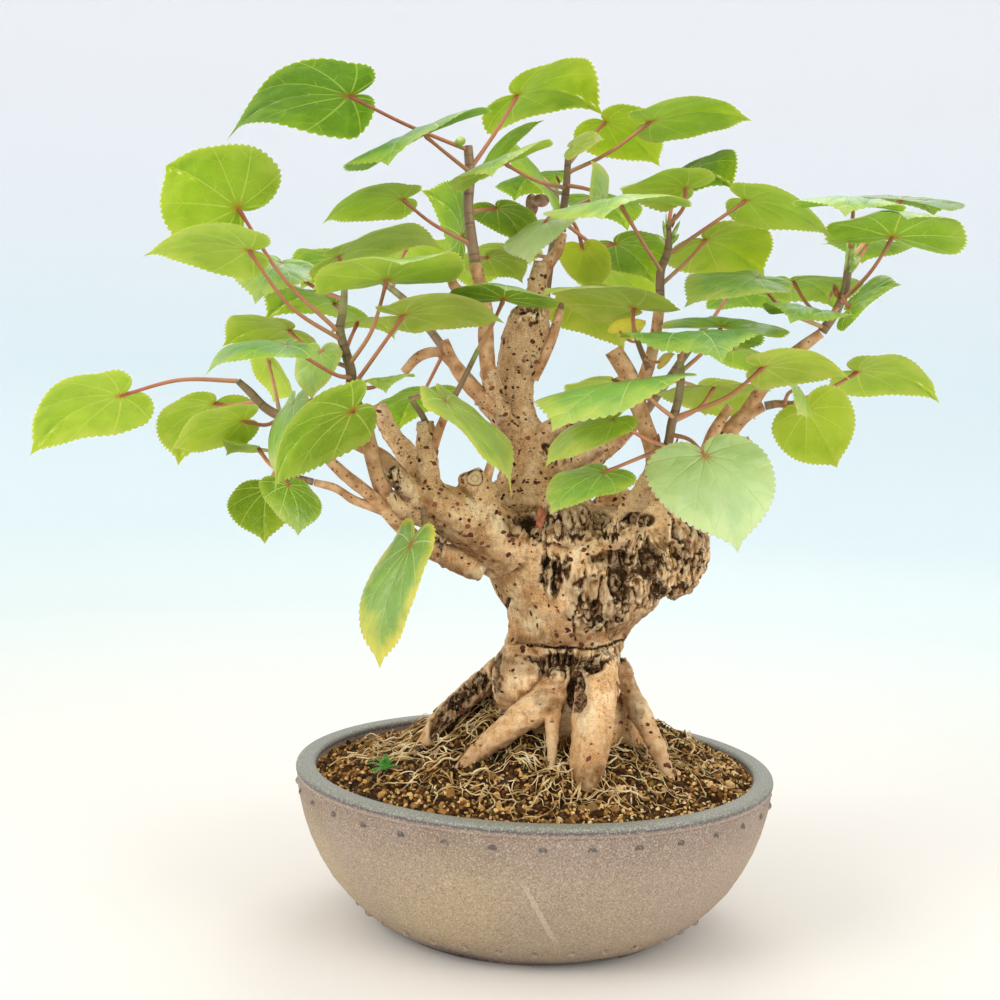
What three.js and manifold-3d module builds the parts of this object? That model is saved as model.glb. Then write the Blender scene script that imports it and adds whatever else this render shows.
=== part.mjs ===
import * as THREE from "three";
import { mergeVertices } from "three/addons/utils/BufferGeometryUtils.js";
import Module from "manifold-3d";

// Driving dimensions, in millimetres
const POT_RADIUS = 130;
const POT_HEIGHT = 86.3;
const POT_SHIFT = -2.3;
const BASE_RADIUS = 81;
const LIP_WIDTH = 9.4;
const FOOT_HEIGHT = 2.6;
const FOOT_SINK = 1.5;
const FOOT_RADIUS = 79;
const FOOT_WIDTH = 11;
const FLOOR_HEIGHT = 14;
const STUD_COUNT = 34;
const STUD_TURN = -2.7;
const STUD_REACH = 2.2;
const STUD_SIZE = 3.4;
const UPPER_STUD_HEIGHT = 74.5;
const LOWER_STUD_HEIGHT = 12.8;
const DRAIN_RADIUS = 8;
const DRAIN_SPREAD = 42;
const SOIL_EDGE_HEIGHT = 81;
const SOIL_RISE = 42;
const GAP = 0.35;
const BLADE_THICKNESS = 0.9;
const PETIOLE_RADIUS = 1.2;

// The view in which the places below were read: its eye, its turn in degrees and its focal length.
// A place is [right, down, depth, ...]: the first two in thousandths of the picture's side, the depth
// in millimetres behind the pot's axis.
const EYE = new THREE.Vector3(0, -867, 299);
const EYE_YAW = -1.72;
const EYE_PITCH = 4.57;
const EYE_ROLL = 1.96;
const FOCAL = 1600;
const PICTURE_MIDDLE = 500;

const radians = THREE.MathUtils.degToRad;
const yaw = radians(EYE_YAW);
const pitch = radians(EYE_PITCH);
const roll = radians(EYE_ROLL);
const flat = Math.cos(pitch);
const ahead = new THREE.Vector3(Math.sin(yaw) * flat, Math.cos(yaw) * flat, -Math.sin(pitch));
const level = new THREE.Vector3(Math.cos(yaw), -Math.sin(yaw), 0);
const upright = new THREE.Vector3().crossVectors(level, ahead);
const across = level.clone().multiplyScalar(Math.cos(roll)).addScaledVector(upright, Math.sin(roll));
const above = upright.clone().multiplyScalar(Math.cos(roll)).addScaledVector(level, -Math.sin(roll));

function sight([right, down, depth]) {
  const ray = ahead.clone()
    .addScaledVector(across, (right - PICTURE_MIDDLE) / FOCAL)
    .addScaledVector(above, (PICTURE_MIDDLE - down) / FOCAL);
  return EYE.clone().addScaledVector(ray, (depth - EYE.y) / ray.y);
}

// Solids
const wasm = await Module();
wasm.setup();

function solidFrom(points, faces) {
  const vertProperties = new Float32Array(points.flatMap((p) => [p.x, p.y, p.z]));
  const triVerts = new Uint32Array(faces.flat());
  return new wasm.Manifold(new wasm.Mesh({ numProp: 3, vertProperties, triVerts }));
}

function solidOf(geometry) {
  geometry.deleteAttribute("normal");
  geometry.deleteAttribute("uv");
  const welded = mergeVertices(geometry, 1e-4);
  const vertProperties = new Float32Array(welded.getAttribute("position").array);
  const triVerts = new Uint32Array(welded.getIndex().array);
  return new wasm.Manifold(new wasm.Mesh({ numProp: 3, vertProperties, triVerts }));
}

function joined(solids) {
  return solids.reduce((whole, piece) => whole.add(piece));
}

function meshOf(name, solid, material) {
  const { vertProperties, triVerts } = solid.getMesh();
  const geometry = new THREE.BufferGeometry();
  geometry.setAttribute("position", new THREE.BufferAttribute(new Float32Array(vertProperties), 3));
  geometry.setIndex(new THREE.BufferAttribute(new Uint32Array(triVerts), 1));
  geometry.computeVertexNormals();
  const mesh = new THREE.Mesh(geometry, material);
  mesh.name = name;
  return mesh;
}

// A closed skin over rings of equal count, with a fan at each end
function skin(rings) {
  const sides = rings[0].length;
  const points = rings.flat();
  const faces = [];
  for (let ring = 0; ring + 1 < rings.length; ring++) {
    for (let side = 0; side < sides; side++) {
      const a = ring * sides + side;
      const b = ring * sides + (side + 1) % sides;
      faces.push([a, b, b + sides], [a, b + sides, a + sides]);
    }
  }
  const last = (rings.length - 1) * sides;
  for (let side = 1; side + 1 < sides; side++) {
    faces.push([0, side + 1, side], [last, last + side, last + side + 1]);
  }
  return solidFrom(points, faces);
}

// Ripples that make bark and burls uneven, the same at every build
function ripple(point, scale) {
  const [x, y, z] = point.toArray().map((value) => value / scale);
  return Math.sin(x + 1.7 * Math.sin(z)) * Math.cos(y - 1.3 * Math.sin(x + 2));
}

// A woody or green branch: a tapered tube through places [right, down, depth, radius]
function branch(places, { sides = 6, knobs = 0, swell = 0 } = {}) {
  const path = new THREE.CatmullRomCurve3(places.map(sight), false, "centripetal");
  const spans = places.length - 1;
  const rings = [];
  const normal = new THREE.Vector3(0.3, 1, 0.2);
  for (let ring = 0; ring <= spans; ring++) {
    const centre = path.getPoint(ring / spans);
    const tangent = path.getTangent(ring / spans);
    normal.addScaledVector(tangent, -normal.dot(tangent)).normalize();
    const side = new THREE.Vector3().crossVectors(tangent, normal);
    const radius = places[ring][3] + swell;
    if (ring === 0) centre.addScaledVector(tangent, -swell);
    if (ring === spans) centre.addScaledVector(tangent, swell);
    rings.push(Array.from({ length: sides }, (_, corner) => {
      const angle = corner / sides * 2 * Math.PI;
      const point = centre.clone()
        .addScaledVector(normal, Math.cos(angle) * radius)
        .addScaledVector(side, Math.sin(angle) * radius);
      const bump = knobs * radius * ripple(point, 9);
      return point.addScaledVector(point.clone().sub(centre).normalize(), bump);
    }));
  }
  return skin(rings);
}

// Heart-shaped blade outline: reach from the foot of the blade at each angle off the midrib, as shares
// of the blade's length
const HEART = [
  [0, 1], [6, 0.9], [16, 0.83], [30, 0.765], [48, 0.7], [68, 0.64],
  [90, 0.565], [110, 0.45], [128, 0.32], [145, 0.215], [162, 0.12], [180, 0.04],
];
const TOOTH = 0.02;

function heartReach(angle) {
  let upper = 1;
  while (HEART[upper][0] < angle) upper++;
  const [fromAngle, from] = HEART[upper - 1];
  const [toAngle, to] = HEART[upper];
  return THREE.MathUtils.lerp(from, to, (angle - fromAngle) / (toAngle - fromAngle));
}

// The blade's plane holds the midrib, from foot to tip. A blade seen across its midrib is turned about it
// until its upper side faces the eye by the share "face", negative where the underside shows. A blade
// whose midrib points to or from the eye lies along "axis", the slope of its cross line in the picture,
// in degrees, falling to the right.
function bladeFrame(foot, tip, face, axis) {
  const midrib = tip.clone().sub(foot);
  const length = midrib.length();
  midrib.normalize();
  const toEye = EYE.clone().sub(foot).normalize();
  let normal;
  if (axis === undefined) {
    const facing = toEye.addScaledVector(midrib, -toEye.dot(midrib)).normalize();
    const turned = new THREE.Vector3().crossVectors(midrib, facing);
    const lean = Math.sqrt(1 - face * face);
    if (turned.z < 0) turned.negate();
    normal = facing.multiplyScalar(face).addScaledVector(turned, lean);
  } else {
    const cross = across.clone().multiplyScalar(Math.cos(radians(axis)));
    cross.addScaledVector(above, -Math.sin(radians(axis)));
    cross.addScaledVector(toEye, -cross.dot(midrib) / toEye.dot(midrib)).normalize();
    normal = new THREE.Vector3().crossVectors(cross, midrib);
    if (normal.z < 0) normal.negate();
  }
  const lateral = new THREE.Vector3().crossVectors(normal, midrib);
  return { foot, midrib, lateral, normal, length };
}

// Height of the arched blade over its plane, at a share along the midrib and a share to the side
function arch(along, aside, curl) {
  const rise = along > 0 ? 0.4 * along * (1 - along) : 0.15 * along;
  return rise - curl * aside * aside;
}

const RIM_ANGLES = [9, 28, 54, 82, 110, 136, 160];
const MIDRIB_SHARES = [0.62, 0.22];
const RIB_ANGLES = [0, 35, 96, 180];

function blade({ foot, tip, face, axis, wide, curl }) {
  const frame = bladeFrame(sight(foot), sight(tip), face, axis);
  const onBlade = (along, aside) => frame.foot.clone()
    .addScaledVector(frame.midrib, along * frame.length)
    .addScaledVector(frame.lateral, aside * frame.length)
    .addScaledVector(frame.normal, arch(along, aside, curl) * frame.length);
  const rim = (side) => RIM_ANGLES.map((angle, index) => {
    const reach = heartReach(angle) * (index % 2 ? 1 - TOOTH : 1 + TOOTH);
    return onBlade(reach * Math.cos(radians(angle)), side * wide * reach * Math.sin(radians(angle)));
  });
  const notchReach = HEART.at(-1)[1];
  const top = [onBlade(1, 0), ...MIDRIB_SHARES.map((share) => onBlade(share, 0)), onBlade(-notchReach, 0)];
  const notch = top.length - 1;
  const left = top.length;
  const right = left + RIM_ANGLES.length;
  top.push(...rim(1), ...rim(-1));
  const half = frame.normal.clone().multiplyScalar(BLADE_THICKNESS / 2);
  const count = top.length;
  const points = [...top.map((p) => p.clone().add(half)), ...top.map((p) => p.clone().sub(half))];
  const faces = [];
  for (const start of [left, right]) {
    const edge = [0, ...RIM_ANGLES.map((_, index) => start + index), notch];
    let rib = 0;
    for (let index = 0; index + 1 < edge.length; index++) {
      const angle = RIM_ANGLES[index] ?? 180;
      const face = [rib, edge[index], edge[index + 1]];
      if (new Set(face).size === 3) pushBoth(face, start === left);
      if (rib < notch && angle >= RIB_ANGLES[rib + 1] && edge[index + 1] !== notch) {
        pushBoth([rib, edge[index + 1], rib + 1], start === left);
        rib++;
      }
    }
  }
  function pushBoth([a, b, c], flip) {
    const [second, third] = flip ? [b, c] : [c, b];
    faces.push([a, second, third], [a + count, third + count, second + count]);
  }
  const rightRim = RIM_ANGLES.map((_, index) => right + index);
  const leftRim = RIM_ANGLES.map((_, index) => left + index);
  const loop = [0, ...rightRim, notch, ...leftRim.reverse()];
  loop.forEach((from, index) => {
    const to = loop[(index + 1) % loop.length];
    faces.push([from, to + count, from + count], [from, to, to + count]);
  });
  return solidFrom(points, faces);
}

// One leaf: where its petiole leaves the stem, a bend of the petiole, the foot of the blade, its tip, and
// how much its upper side faces the eye
function leaf(joint, bend, foot, tip, face, { axis, wide = 1, curl = 0.18, thick = PETIOLE_RADIUS } = {}) {
  return { joint, bend, foot, tip, face, axis, wide, curl, thick };
}

// A petiole ends as a point inside the blade, thinner than the blade
function petiole({ joint, bend, foot, thick }) {
  const places = [[...joint, thick * 1.15], [...bend, thick], [...foot, BLADE_THICKNESS * 0.4]];
  return branch(places, { sides: 3 });
}

// Leafy stems: the green stem's places [right, down, depth, radius] and its leaves
const SHOOTS = {
  top_left_leader: {
    stem: [[475, 262, -15, 3.1], [471, 235, -15, 2.9], [468, 205, -14, 2.8], [470, 175, -13, 2.7],
      [468, 146, -12, 2.4]],
    leaves: [
      leaf([468, 150, -12], [405, 124, -36], [349, 96, -56], [226, 142, -70], -0.42),
      leaf([471, 173, -14], [447, 154, -30], [424, 135, -40], [388, 166, -100], 0, { axis: -25 }),
      leaf([471, 168, -13], [497, 130, -10], [518, 95, -4], [604, 116, 26], -0.64),
      leaf([471, 244, -15], [430, 222, -32], [402, 199, -44], [322, 225, -56], -0.34, { wide: 0.94 }),
      leaf([472, 250, -14], [466, 243, 4], [461, 236, 20], [420, 190, 46], -0.7, { wide: 0.85 }),
      leaf([470, 212, -14], [483, 210, -8], [497, 208, -3], [523, 250, 17], -0.75),
      leaf([473, 256, -14], [482, 258, -4], [488, 258, 4], [523, 284, 22], -0.7),
      leaf([470, 170, -13], [479, 168, -4], [488, 166, 2], [545, 120, 0], -0.3, { wide: 0.6 }),
    ],
  },
  top_centre: {
    stem: [[562, 232, 15, 2.4], [563, 215, 15, 2.3], [566, 190, 14, 2.2], [568, 158, 13, 1.8]],
    leaves: [
      leaf([568, 165, 14], [588, 140, 30], [606, 122, 42], [660, 167, 62], -0.72),
      leaf([567, 173, 14], [605, 155, 6], [652, 121, -4], [752, 121, -14], -0.33),
      leaf([568, 160, 13], [569, 152, 8], [572, 147, 5], [605, 140, -2], 0.5, { thick: 0.8 }),
      leaf([563, 215, 15], [553, 213, -2], [545, 223, -14], [530, 266, -40], 0.72),
      leaf([564, 212, 15], [575, 225, 20], [583, 249, 24], [593, 294, 30], -0.82, { wide: 1.1 }),
      leaf([563, 222, 15], [600, 246, 26], [616, 244, 34], [655, 285, 62], -0.8),
      leaf([565, 188, 14], [530, 178, -24], [505, 164, -46], [492, 177, -90], 0, { axis: -26 }),
      leaf([566, 185, 14], [590, 190, 2], [602, 196, -6], [590, 160, -16], 0.5),
      leaf([565, 194, 14], [552, 190, 26], [545, 184, 34], [508, 168, 66], -0.5),
    ],
  },
  upper_right: {
    stem: [[660, 298, -20, 2.6], [661, 270, -21, 2.4], [668, 250, -21, 2.2], [668, 225, -20, 1.7]],
    leaves: [
      leaf([669, 254, -21], [715, 222, -32], [747, 200, -38], [834, 240, -44], -0.36),
      leaf([661, 285, -20], [690, 258, 0], [706, 240, 14], [765, 278, 42], -0.75),
      leaf([668, 232, -20], [672, 205, -4], [680, 178, 8], [736, 190, 38], -0.66),
      leaf([668, 226, -20], [684, 206, -30], [686, 188, -36], [618, 190, -56], -0.38),
      leaf([661, 271, -22], [645, 246, -44], [620, 204, -54], [602, 220, -112], 0, { axis: -6 }),
    ],
  },
  far_right: {
    stem: [[822, 332, -8, 2.6], [838, 308, -9, 2.4], [845, 290, -10, 2.3], [848, 268, -10, 2.1],
      [850, 244, -10, 1.5]],
    leaves: [
      leaf([840, 303, -10], [872, 270, -24], [893, 237, -30], [908, 220, -88], 0, { axis: 5, curl: 0.3 }),
      leaf([850, 248, -10], [853, 213, -34], [850, 205, -76], [845, 217, -118], 0, { axis: 2 }),
      leaf([848, 262, -10], [875, 230, 20], [902, 200, 40], [934, 216, 82], 0, { axis: 6 }),
      leaf([848, 275, -10], [858, 262, 8], [868, 242, 20], [862, 264, 60], 0, { axis: 3 }),
      leaf([843, 296, -10], [846, 303, -22], [850, 308, -28], [902, 285, -48], 0.42),
      leaf([838, 308, -9], [824, 316, -32], [812, 313, -46], [790, 324, -90], 0, { axis: 6, wide: 0.78 }),
      leaf([830, 320, -9], [808, 305, 4], [793, 281, 12], [838, 312, 54], -0.6),
      leaf([824, 328, -8], [780, 306, -30], [756, 278, -42], [684, 308, -62], 0.42),
    ],
  },
  right_centre: {
    stem: [[666.5, 450, -67, 2.4], [669, 440, -69, 2.4], [672, 422, -70, 2.4], [677, 405, -70, 2.2],
      [681, 375, -69, 2], [680, 354, -68, 1.5]],
    leaves: [
      leaf([674, 418, -70], [730, 395, -82], [764, 367, -90], [852, 381, -98], -0.36),
      leaf([673, 422, -70], [700, 407, -62], [715, 387, -54], [705, 416, -8], 0, { axis: -2 }),
      leaf([674, 418, -70], [655, 403, -88], [634, 382, -100], [552, 432, -146], 0, { axis: -8 }),
      leaf([665, 446, -68], [648, 440, -84], [613, 420, -98], [545, 468, -104], 0.34),
      leaf([665, 447, -68], [644, 456, -84], [603, 473, -92], [550, 515, -112], 0.56),
      leaf([668, 434, -69], [690, 440, -78], [705, 456, -86], [738, 553, -104], 0.9, { wide: 1.06 }),
      leaf([680, 362, -68], [684, 345, -78], [684, 337, -84], [722, 364, -138], 0, { axis: 2 }),
      leaf([681, 372, -69], [705, 350, -56], [722, 327, -46], [740, 331, 6], 0, { axis: 5 }),
    ],
  },
  low_right: {
    stem: [[765, 406, -2, 2.4], [775, 404, -3, 2.2], [793, 404, -4, 1.6]],
    leaves: [
      leaf([772, 404, -3], [795, 408, -16], [807, 410, -22], [837, 468, -34], -0.96, { wide: 1.08 }),
      leaf([790, 404, -4], [838, 384, 6], [858, 372, 10], [940, 404, 14], -0.5, { wide: 0.94 }),
      leaf([784, 404, -4], [790, 392, -24], [798, 388, -34], [797, 416, -52], 0.5),
    ],
  },
  centre: {
    stem: [[648, 367, -22.5, 1.7], [640, 348, -30, 1.5], [634, 330, -36, 1.4]],
    leaves: [
      leaf([634, 330, -36], [633, 318, -42], [634, 308, -48], [540, 297, -82], -0.16),
      leaf([638, 342, -32], [628, 340, -20], [620, 332, -14], [647, 321, -6], 0.5, { thick: 0.8 }),
      leaf([644, 358, -26], [652, 362, -36], [660, 362, -42], [676, 354, -46], 0.5, { thick: 0.8 }),
    ],
  },
  upper_left: {
    stem: [[366, 424, -61, 3.2], [357, 405, -62, 3], [352, 392, -62, 2.9], [351, 372, -62, 2.7],
      [345, 350, -61, 2.5], [340, 330, -60, 2.3], [343, 310, -60, 2.1], [345, 282, -59, 1.5]],
    leaves: [
      leaf([340, 333, -60], [285, 280, -72], [238, 208, -80], [165, 166, -121], -0.95),
      leaf([341, 340, -60], [290, 306, -84], [248, 250, -98], [142, 257, -110], -0.4),
      leaf([344, 300, -60], [312, 286, -42], [280, 263, -26], [255, 305, -58], 0.9),
      leaf([345, 283, -59], [342, 268, -62], [339, 256, -64], [446, 251, -40], -0.3),
      leaf([350, 364, -62], [372, 330, -80], [387, 280, -92], [402, 265, -150], 0, { axis: -5 }),
      leaf([352, 388, -62], [372, 360, -74], [404, 315, -82], [505, 324, -92], -0.28, { wide: 0.92 }),
      leaf([352, 385, -62], [370, 388, -66], [390, 378, -70], [386, 394, -94], 0, { axis: -8, wide: 0.85 }),
      leaf([351, 378, -62], [330, 372, -94], [286, 345, -110], [204, 377, -128], 0.26),
      leaf([353, 394, -62], [325, 398, -76], [293, 404, -84], [276, 476, -90], 0.3, { wide: 0.85 }),
      leaf([364, 420, -61], [360, 414, -84], [352, 411, -102], [275, 495, -120], -0.42),
      leaf([347, 356, -61], [336, 349, -62], [320, 352, -64], [312, 402, -72], 0.85, { wide: 0.8 }),
      leaf([343, 312, -60], [338, 308, -36], [334, 304, -14], [264, 322, 10], -0.5),
      leaf([346, 350, -61], [352, 335, -48], [358, 322, -40], [395, 340, -16], -0.5),
      leaf([349, 368, -61], [310, 350, -40], [288, 330, -24], [222, 347, -10], -0.5),
    ],
  },
  far_left: {
    stem: [[295, 424, -41, 2.7], [262, 405, -40, 2.4], [250, 392, -40, 2.2], [238, 381, -40, 1.7]],
    leaves: [
      leaf([238, 381, -40], [180, 380, -48], [120, 396, -56], [30, 456, -62], -0.6, { wide: 0.94 }),
      leaf([258, 401, -40], [235, 405, -32], [214, 404, -24], [178, 466, -6], -0.75),
      leaf([282, 417, -40], [265, 425, -56], [243, 421, -68], [170, 452, -82], -0.42),
      leaf([280, 415, -40], [274, 385, -12], [268, 360, 10], [273, 403, 30], -0.6),
    ],
  },
  low_left: {
    stem: [[313, 482, -75, 1.8], [295, 477, -78, 1.7], [275, 468, -80, 1.4]],
    leaves: [
      leaf([276, 469, -80], [272, 478, -72], [268, 489, -64], [265, 544, -54], -0.95, { wide: 1.1 }),
      leaf([277, 470, -80], [284, 476, -92], [288, 486, -102], [298, 536, -114], 0.8, { wide: 1.05 }),
      leaf([275, 468, -80], [268, 462, -72], [258, 448, -64], [226, 456, -50], -0.4),
    ],
  },
  stub_shoot: {
    stem: [[424, 418, -51, 1.7], [415, 405, -54, 1.6], [410, 397, -56, 1.3]],
    leaves: [
      leaf([411, 399, -56], [425, 395, -74], [446, 402, -90], [512, 499, -98], 0.34, { wide: 0.7 }),
    ],
  },
  hanging_leaf: {
    stem: [[423, 508, -63, 1.5], [424, 520, -64, 1.4], [424, 532, -65, 1.3]],
    leaves: [
      leaf([424, 531, -65], [419, 538, -71], [411, 545, -77], [380, 669, -84], 0.6, { wide: 0.55 }),
    ],
  },
  centre_shoot: {
    stem: [[452, 401, -57, 1.7], [457, 392, -58, 1.6], [478, 350, -62, 1.4]],
    leaves: [
      leaf([478, 350, -62], [492, 325, -72], [504, 299, -82], [506, 291, -126], 0, { axis: 5 }),
    ],
  },
  trunk_twig: {
    stem: [[560, 309, 12, 1.9], [564, 300, 13, 1.7], [570, 294, 15, 1.4]],
    leaves: [
      leaf([570, 294, 15], [574, 294, 22], [580, 300, 28], [624, 352, 44], -0.8),
    ],
  },
  back_left: {
    stem: [[452, 360, 34, 2.6], [430, 330, 48, 2.4], [405, 300, 62, 2.2], [380, 280, 72, 1.8]],
    leaves: [
      leaf([380, 282, 72], [360, 270, 84], [346, 262, 94], [300, 290, 122], -0.7),
      leaf([445, 350, 38], [430, 380, 46], [424, 392, 56], [398, 432, 84], -0.7),
      leaf([392, 290, 68], [400, 262, 74], [408, 246, 82], [450, 268, 112], -0.6),
    ],
  },
  back_top: {
    stem: [[545, 300, 22, 2.6], [550, 262, 40, 2.4], [556, 225, 60, 2.2], [556, 190, 74, 1.7]],
    leaves: [
      leaf([556, 192, 74], [545, 180, 86], [538, 174, 96], [514, 202, 130], 0, { axis: -4 }),
      leaf([556, 222, 61], [580, 204, 78], [594, 198, 90], [628, 232, 120], -0.6),
      leaf([550, 258, 42], [520, 252, 62], [504, 250, 74], [472, 296, 106], -0.7),
      leaf([553, 243, 50], [590, 262, 70], [606, 268, 82], [650, 312, 100], -0.7),
    ],
  },
  back_right: {
    stem: [[640, 420, 34, 2.6], [664, 386, 48, 2.4], [690, 348, 62, 2.2], [712, 318, 72, 1.8]],
    leaves: [
      leaf([712, 320, 72], [726, 300, 82], [738, 290, 92], [790, 312, 118], -0.6),
      leaf([700, 335, 66], [720, 344, 84], [734, 350, 96], [764, 384, 128], -0.6),
      leaf([668, 380, 50], [690, 384, 62], [704, 390, 72], [756, 420, 84], -0.6),
      leaf([652, 402, 41], [626, 384, 56], [612, 380, 66], [588, 412, 100], -0.7),
    ],
  },
};

// The woody body. The stump's sections are [left, right, down, depth] with the half depth in millimetres.
const STUMP = [
  [512, 634, 506, 4, 26], [490, 660, 516, 4, 36], [476, 676, 538, 4, 44], [480, 682, 560, 3, 46],
  [490, 672, 580, 2, 45], [501, 656, 600, 0, 42], [508, 638, 620, 0, 37], [506, 622, 642, 0, 33],
  [500, 621, 664, 0, 33], [492, 630, 690, 0, 37], [486, 640, 716, 0, 41], [482, 646, 744, 0, 43],
];
const STUMP_SIDES = 12;
const KNOBS = 0.06;

const LIMBS = [
  // right shoulder, left bulge, knobs on the crown
  [[636, 514, 5, 13], [664, 528, 0, 18], [678, 546, 0, 17], [677, 568, 0, 14.5], [660, 590, 0, 10]],
  [[521, 648, -20, 10], [519, 672, -24, 15], [521, 704, -22, 13]],
  [[497, 545, 12, 14], [470, 547, 18, 11], [447, 549, 22, 8.5], [424, 549, 24, 6.5]],
  [[560, 500, -22, 13], [566, 520, -32, 14], [560, 545, -34, 10]],
  [[620, 505, 16, 14], [612, 520, 26, 16], [600, 540, 34, 14]],
  // upper trunk
  [[535, 520, 4, 34], [530, 496, 5, 25], [530, 478, 6, 18], [529, 446, 8, 13], [519, 418, 10, 10],
    [515, 386, 10, 10], [522, 350, 10, 12], [529, 324, 10, 12], [537, 300, 10, 7], [538, 282, 11, 5.5],
    [541, 262, 12, 4]],
  [[537, 285, 11, 4.5], [549, 262, 13, 3.6], [558, 250, 14, 3], [562, 233.5, 15, 2.6]],
  [[533, 378, 9, 3.4], [545, 355, 6, 3], [553, 335, 8, 2.8], [560, 310.5, 12, 2.4]],
  // stem under the top left leader
  [[516, 440, 2, 6], [500, 410, -6, 5], [490, 380, -10, 4.6], [486, 340, -12, 4.2], [485, 305, -13, 4],
    [480, 284, -14, 3.7], [475, 263.5, -15, 3.3]],
  [[486, 306, -13, 3.6], [474, 300, -16, 3.2], [454, 286, -19, 2.8], [450, 264, -20, 2]],
  [[506, 414, -4, 5], [480, 395, -10, 4.4], [465, 380, -16, 4], [453, 362, -18, 3.4], [444, 340, -19, 2.4]],
  [[455, 366, -18, 3], [438, 352, -16, 2.8], [420, 356, -14, 2.8], [404, 372, -12, 2.4]],
  // right branches
  [[530, 446, 6, 8], [570, 421, -2, 5.5], [600, 414, -8, 4.6], [622, 404, -12, 4.2], [640, 386, -16, 3.8],
    [650, 360, -18, 3.4], [657, 326, -19, 3], [660, 299.5, -20, 2.8]],
  [[540, 478, 0, 8], [575, 459, -6, 6], [605, 441, -12, 5]],
  [[664, 516, 6, 10], [690, 490, 5, 7], [708, 464, 2, 5.6], [729, 432, 0, 4.8], [745, 415, 0, 4.2],
    [763.5, 406.4, -2, 2.8]],
  [[700, 474, 2, 4.4], [714, 432, -6, 3.4], [730, 406, -9, 2.4]],
  [[744, 416, 0, 4], [764, 386, -3, 3.5], [786, 360, -5, 3.3], [806, 344, -7, 3.1], [821, 333.2, -8, 2.8]],
  [[612, 552, -28, 12], [620, 537, -38, 8], [632, 510, -48, 5.6], [645, 488, -56, 5], [654, 465, -62, 4.6],
    [652, 448, -65, 4.4], [645, 425, -67, 4.2], [637, 402, -67, 4.4], [629, 377, -66, 4.8],
    [613, 350, -66, 4.6]],
  // left limbs and stubs
  [[508, 548, -20, 19], [482, 527, -32, 16], [458, 514, -42, 13.5], [434, 502, -48, 11],
    [412, 494, -52, 8]],
  [[433, 504, -48, 8], [428, 476, -50, 6.6], [427, 450, -50, 5.4], [425, 421, -50, 4.6]],
  [[424, 503, -50, 7.5], [407, 486, -55, 5.6], [392, 469, -60, 4.8]],
  [[480, 518, -36, 13], [477, 493, -39, 10.5], [468, 472, -41, 6.5]],
  [[486, 482, -38, 2.8], [495, 446, -42, 2.2], [497, 430, -44, 1.7]],
  [[470, 528, -36, 9], [445, 521, -42, 7], [420, 515, -50, 5.6], [401, 508, -56, 4.9], [388, 498, -59, 4.5],
    [379, 480, -60, 4.2], [374, 464, -60, 4], [370, 446, -60, 3.8], [366.4, 425.6, -61, 3.5]],
  [[478, 564, -26, 9], [450, 558, -36, 6.4], [428, 548, -44, 4.6], [400, 525, -52, 3.9],
    [385, 510, -60, 3.5], [370, 495, -66, 3.3], [345, 475, -72, 3.1], [327, 458, -76, 2.8]],
  [[386, 512, -60, 2.8], [370, 506, -64, 2.5], [354, 500, -68, 2.3], [335, 488, -72, 2.1],
    [314.5, 482.5, -75, 1.9]],
  [[412, 494, -50, 5.5], [383, 458, -46, 4], [361, 445, -44, 3.5], [325, 433, -42, 3.1],
    [296.5, 424.6, -41, 2.9]],
  [[432, 496, -40, 9], [412, 462, -22, 7], [396, 440, -12, 5.6], [386, 425, -8, 5], [378, 405, -6, 4.2]],
  [[428, 460, -49, 3.4], [441, 425, -54, 2.4], [451, 402.6, -57, 2]],
  [[430, 498, -52, 6], [424.5, 503, -60, 3], [423.4, 506, -62.4, 2]],
  // branches at the back
  [[526, 452, 14, 8], [500, 420, 22, 5.4], [474, 388, 28, 4.2], [453, 361.5, 33.6, 3]],
  [[528, 352, 14, 7], [540, 326, 18, 4.2], [545, 301.5, 21.6, 3]],
  [[560, 486, 18, 10], [590, 462, 26, 6], [618, 440, 31, 4.4], [639, 421.2, 33.6, 3]],
];

const ROOTS = [
  [[597, 648, -24, 11], [597, 672, -34, 11.5], [595, 700, -44, 11.5], [592, 730, -55, 11],
    [588, 762, -65, 9.5], [583, 798, -77, 5]],
  [[566, 668, -26, 9], [556, 686, -33, 9], [545, 701, -38, 9], [525, 716, -43, 8.4], [500, 735, -49, 7],
    [481, 750, -53, 5.6], [462, 765, -57, 3.6]],
  [[504, 668, -10, 9], [476, 689, -15, 7.4], [455, 705, -19, 6], [440, 720, -22, 5.4], [428, 737, -24, 4.6],
    [416, 757, -27, 3]],
  [[612, 668, -14, 9], [633, 698, -24, 6], [645, 724, -31, 5.2], [656, 746, -38, 4.8], [667, 772, -44, 3]],
  [[610, 684, -4, 8], [632, 712, 0, 6], [650, 738, 4, 4.6], [660, 762, 8, 3]],
  [[554, 694, -36, 5], [553, 720, -46, 3.8], [553, 742, -54, 3.2], [550, 778, -64, 2]],
  [[510, 674, 16, 9], [480, 698, 36, 8], [446, 717, 54, 6], [418, 732, 66, 3]],
  [[556, 668, 26, 10], [560, 690, 48, 9], [566, 708, 68, 6.5], [572, 722, 84, 3]],
  [[602, 672, 20, 9], [624, 700, 40, 8], [642, 724, 60, 5], [652, 738, 74, 3]],
];

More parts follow.
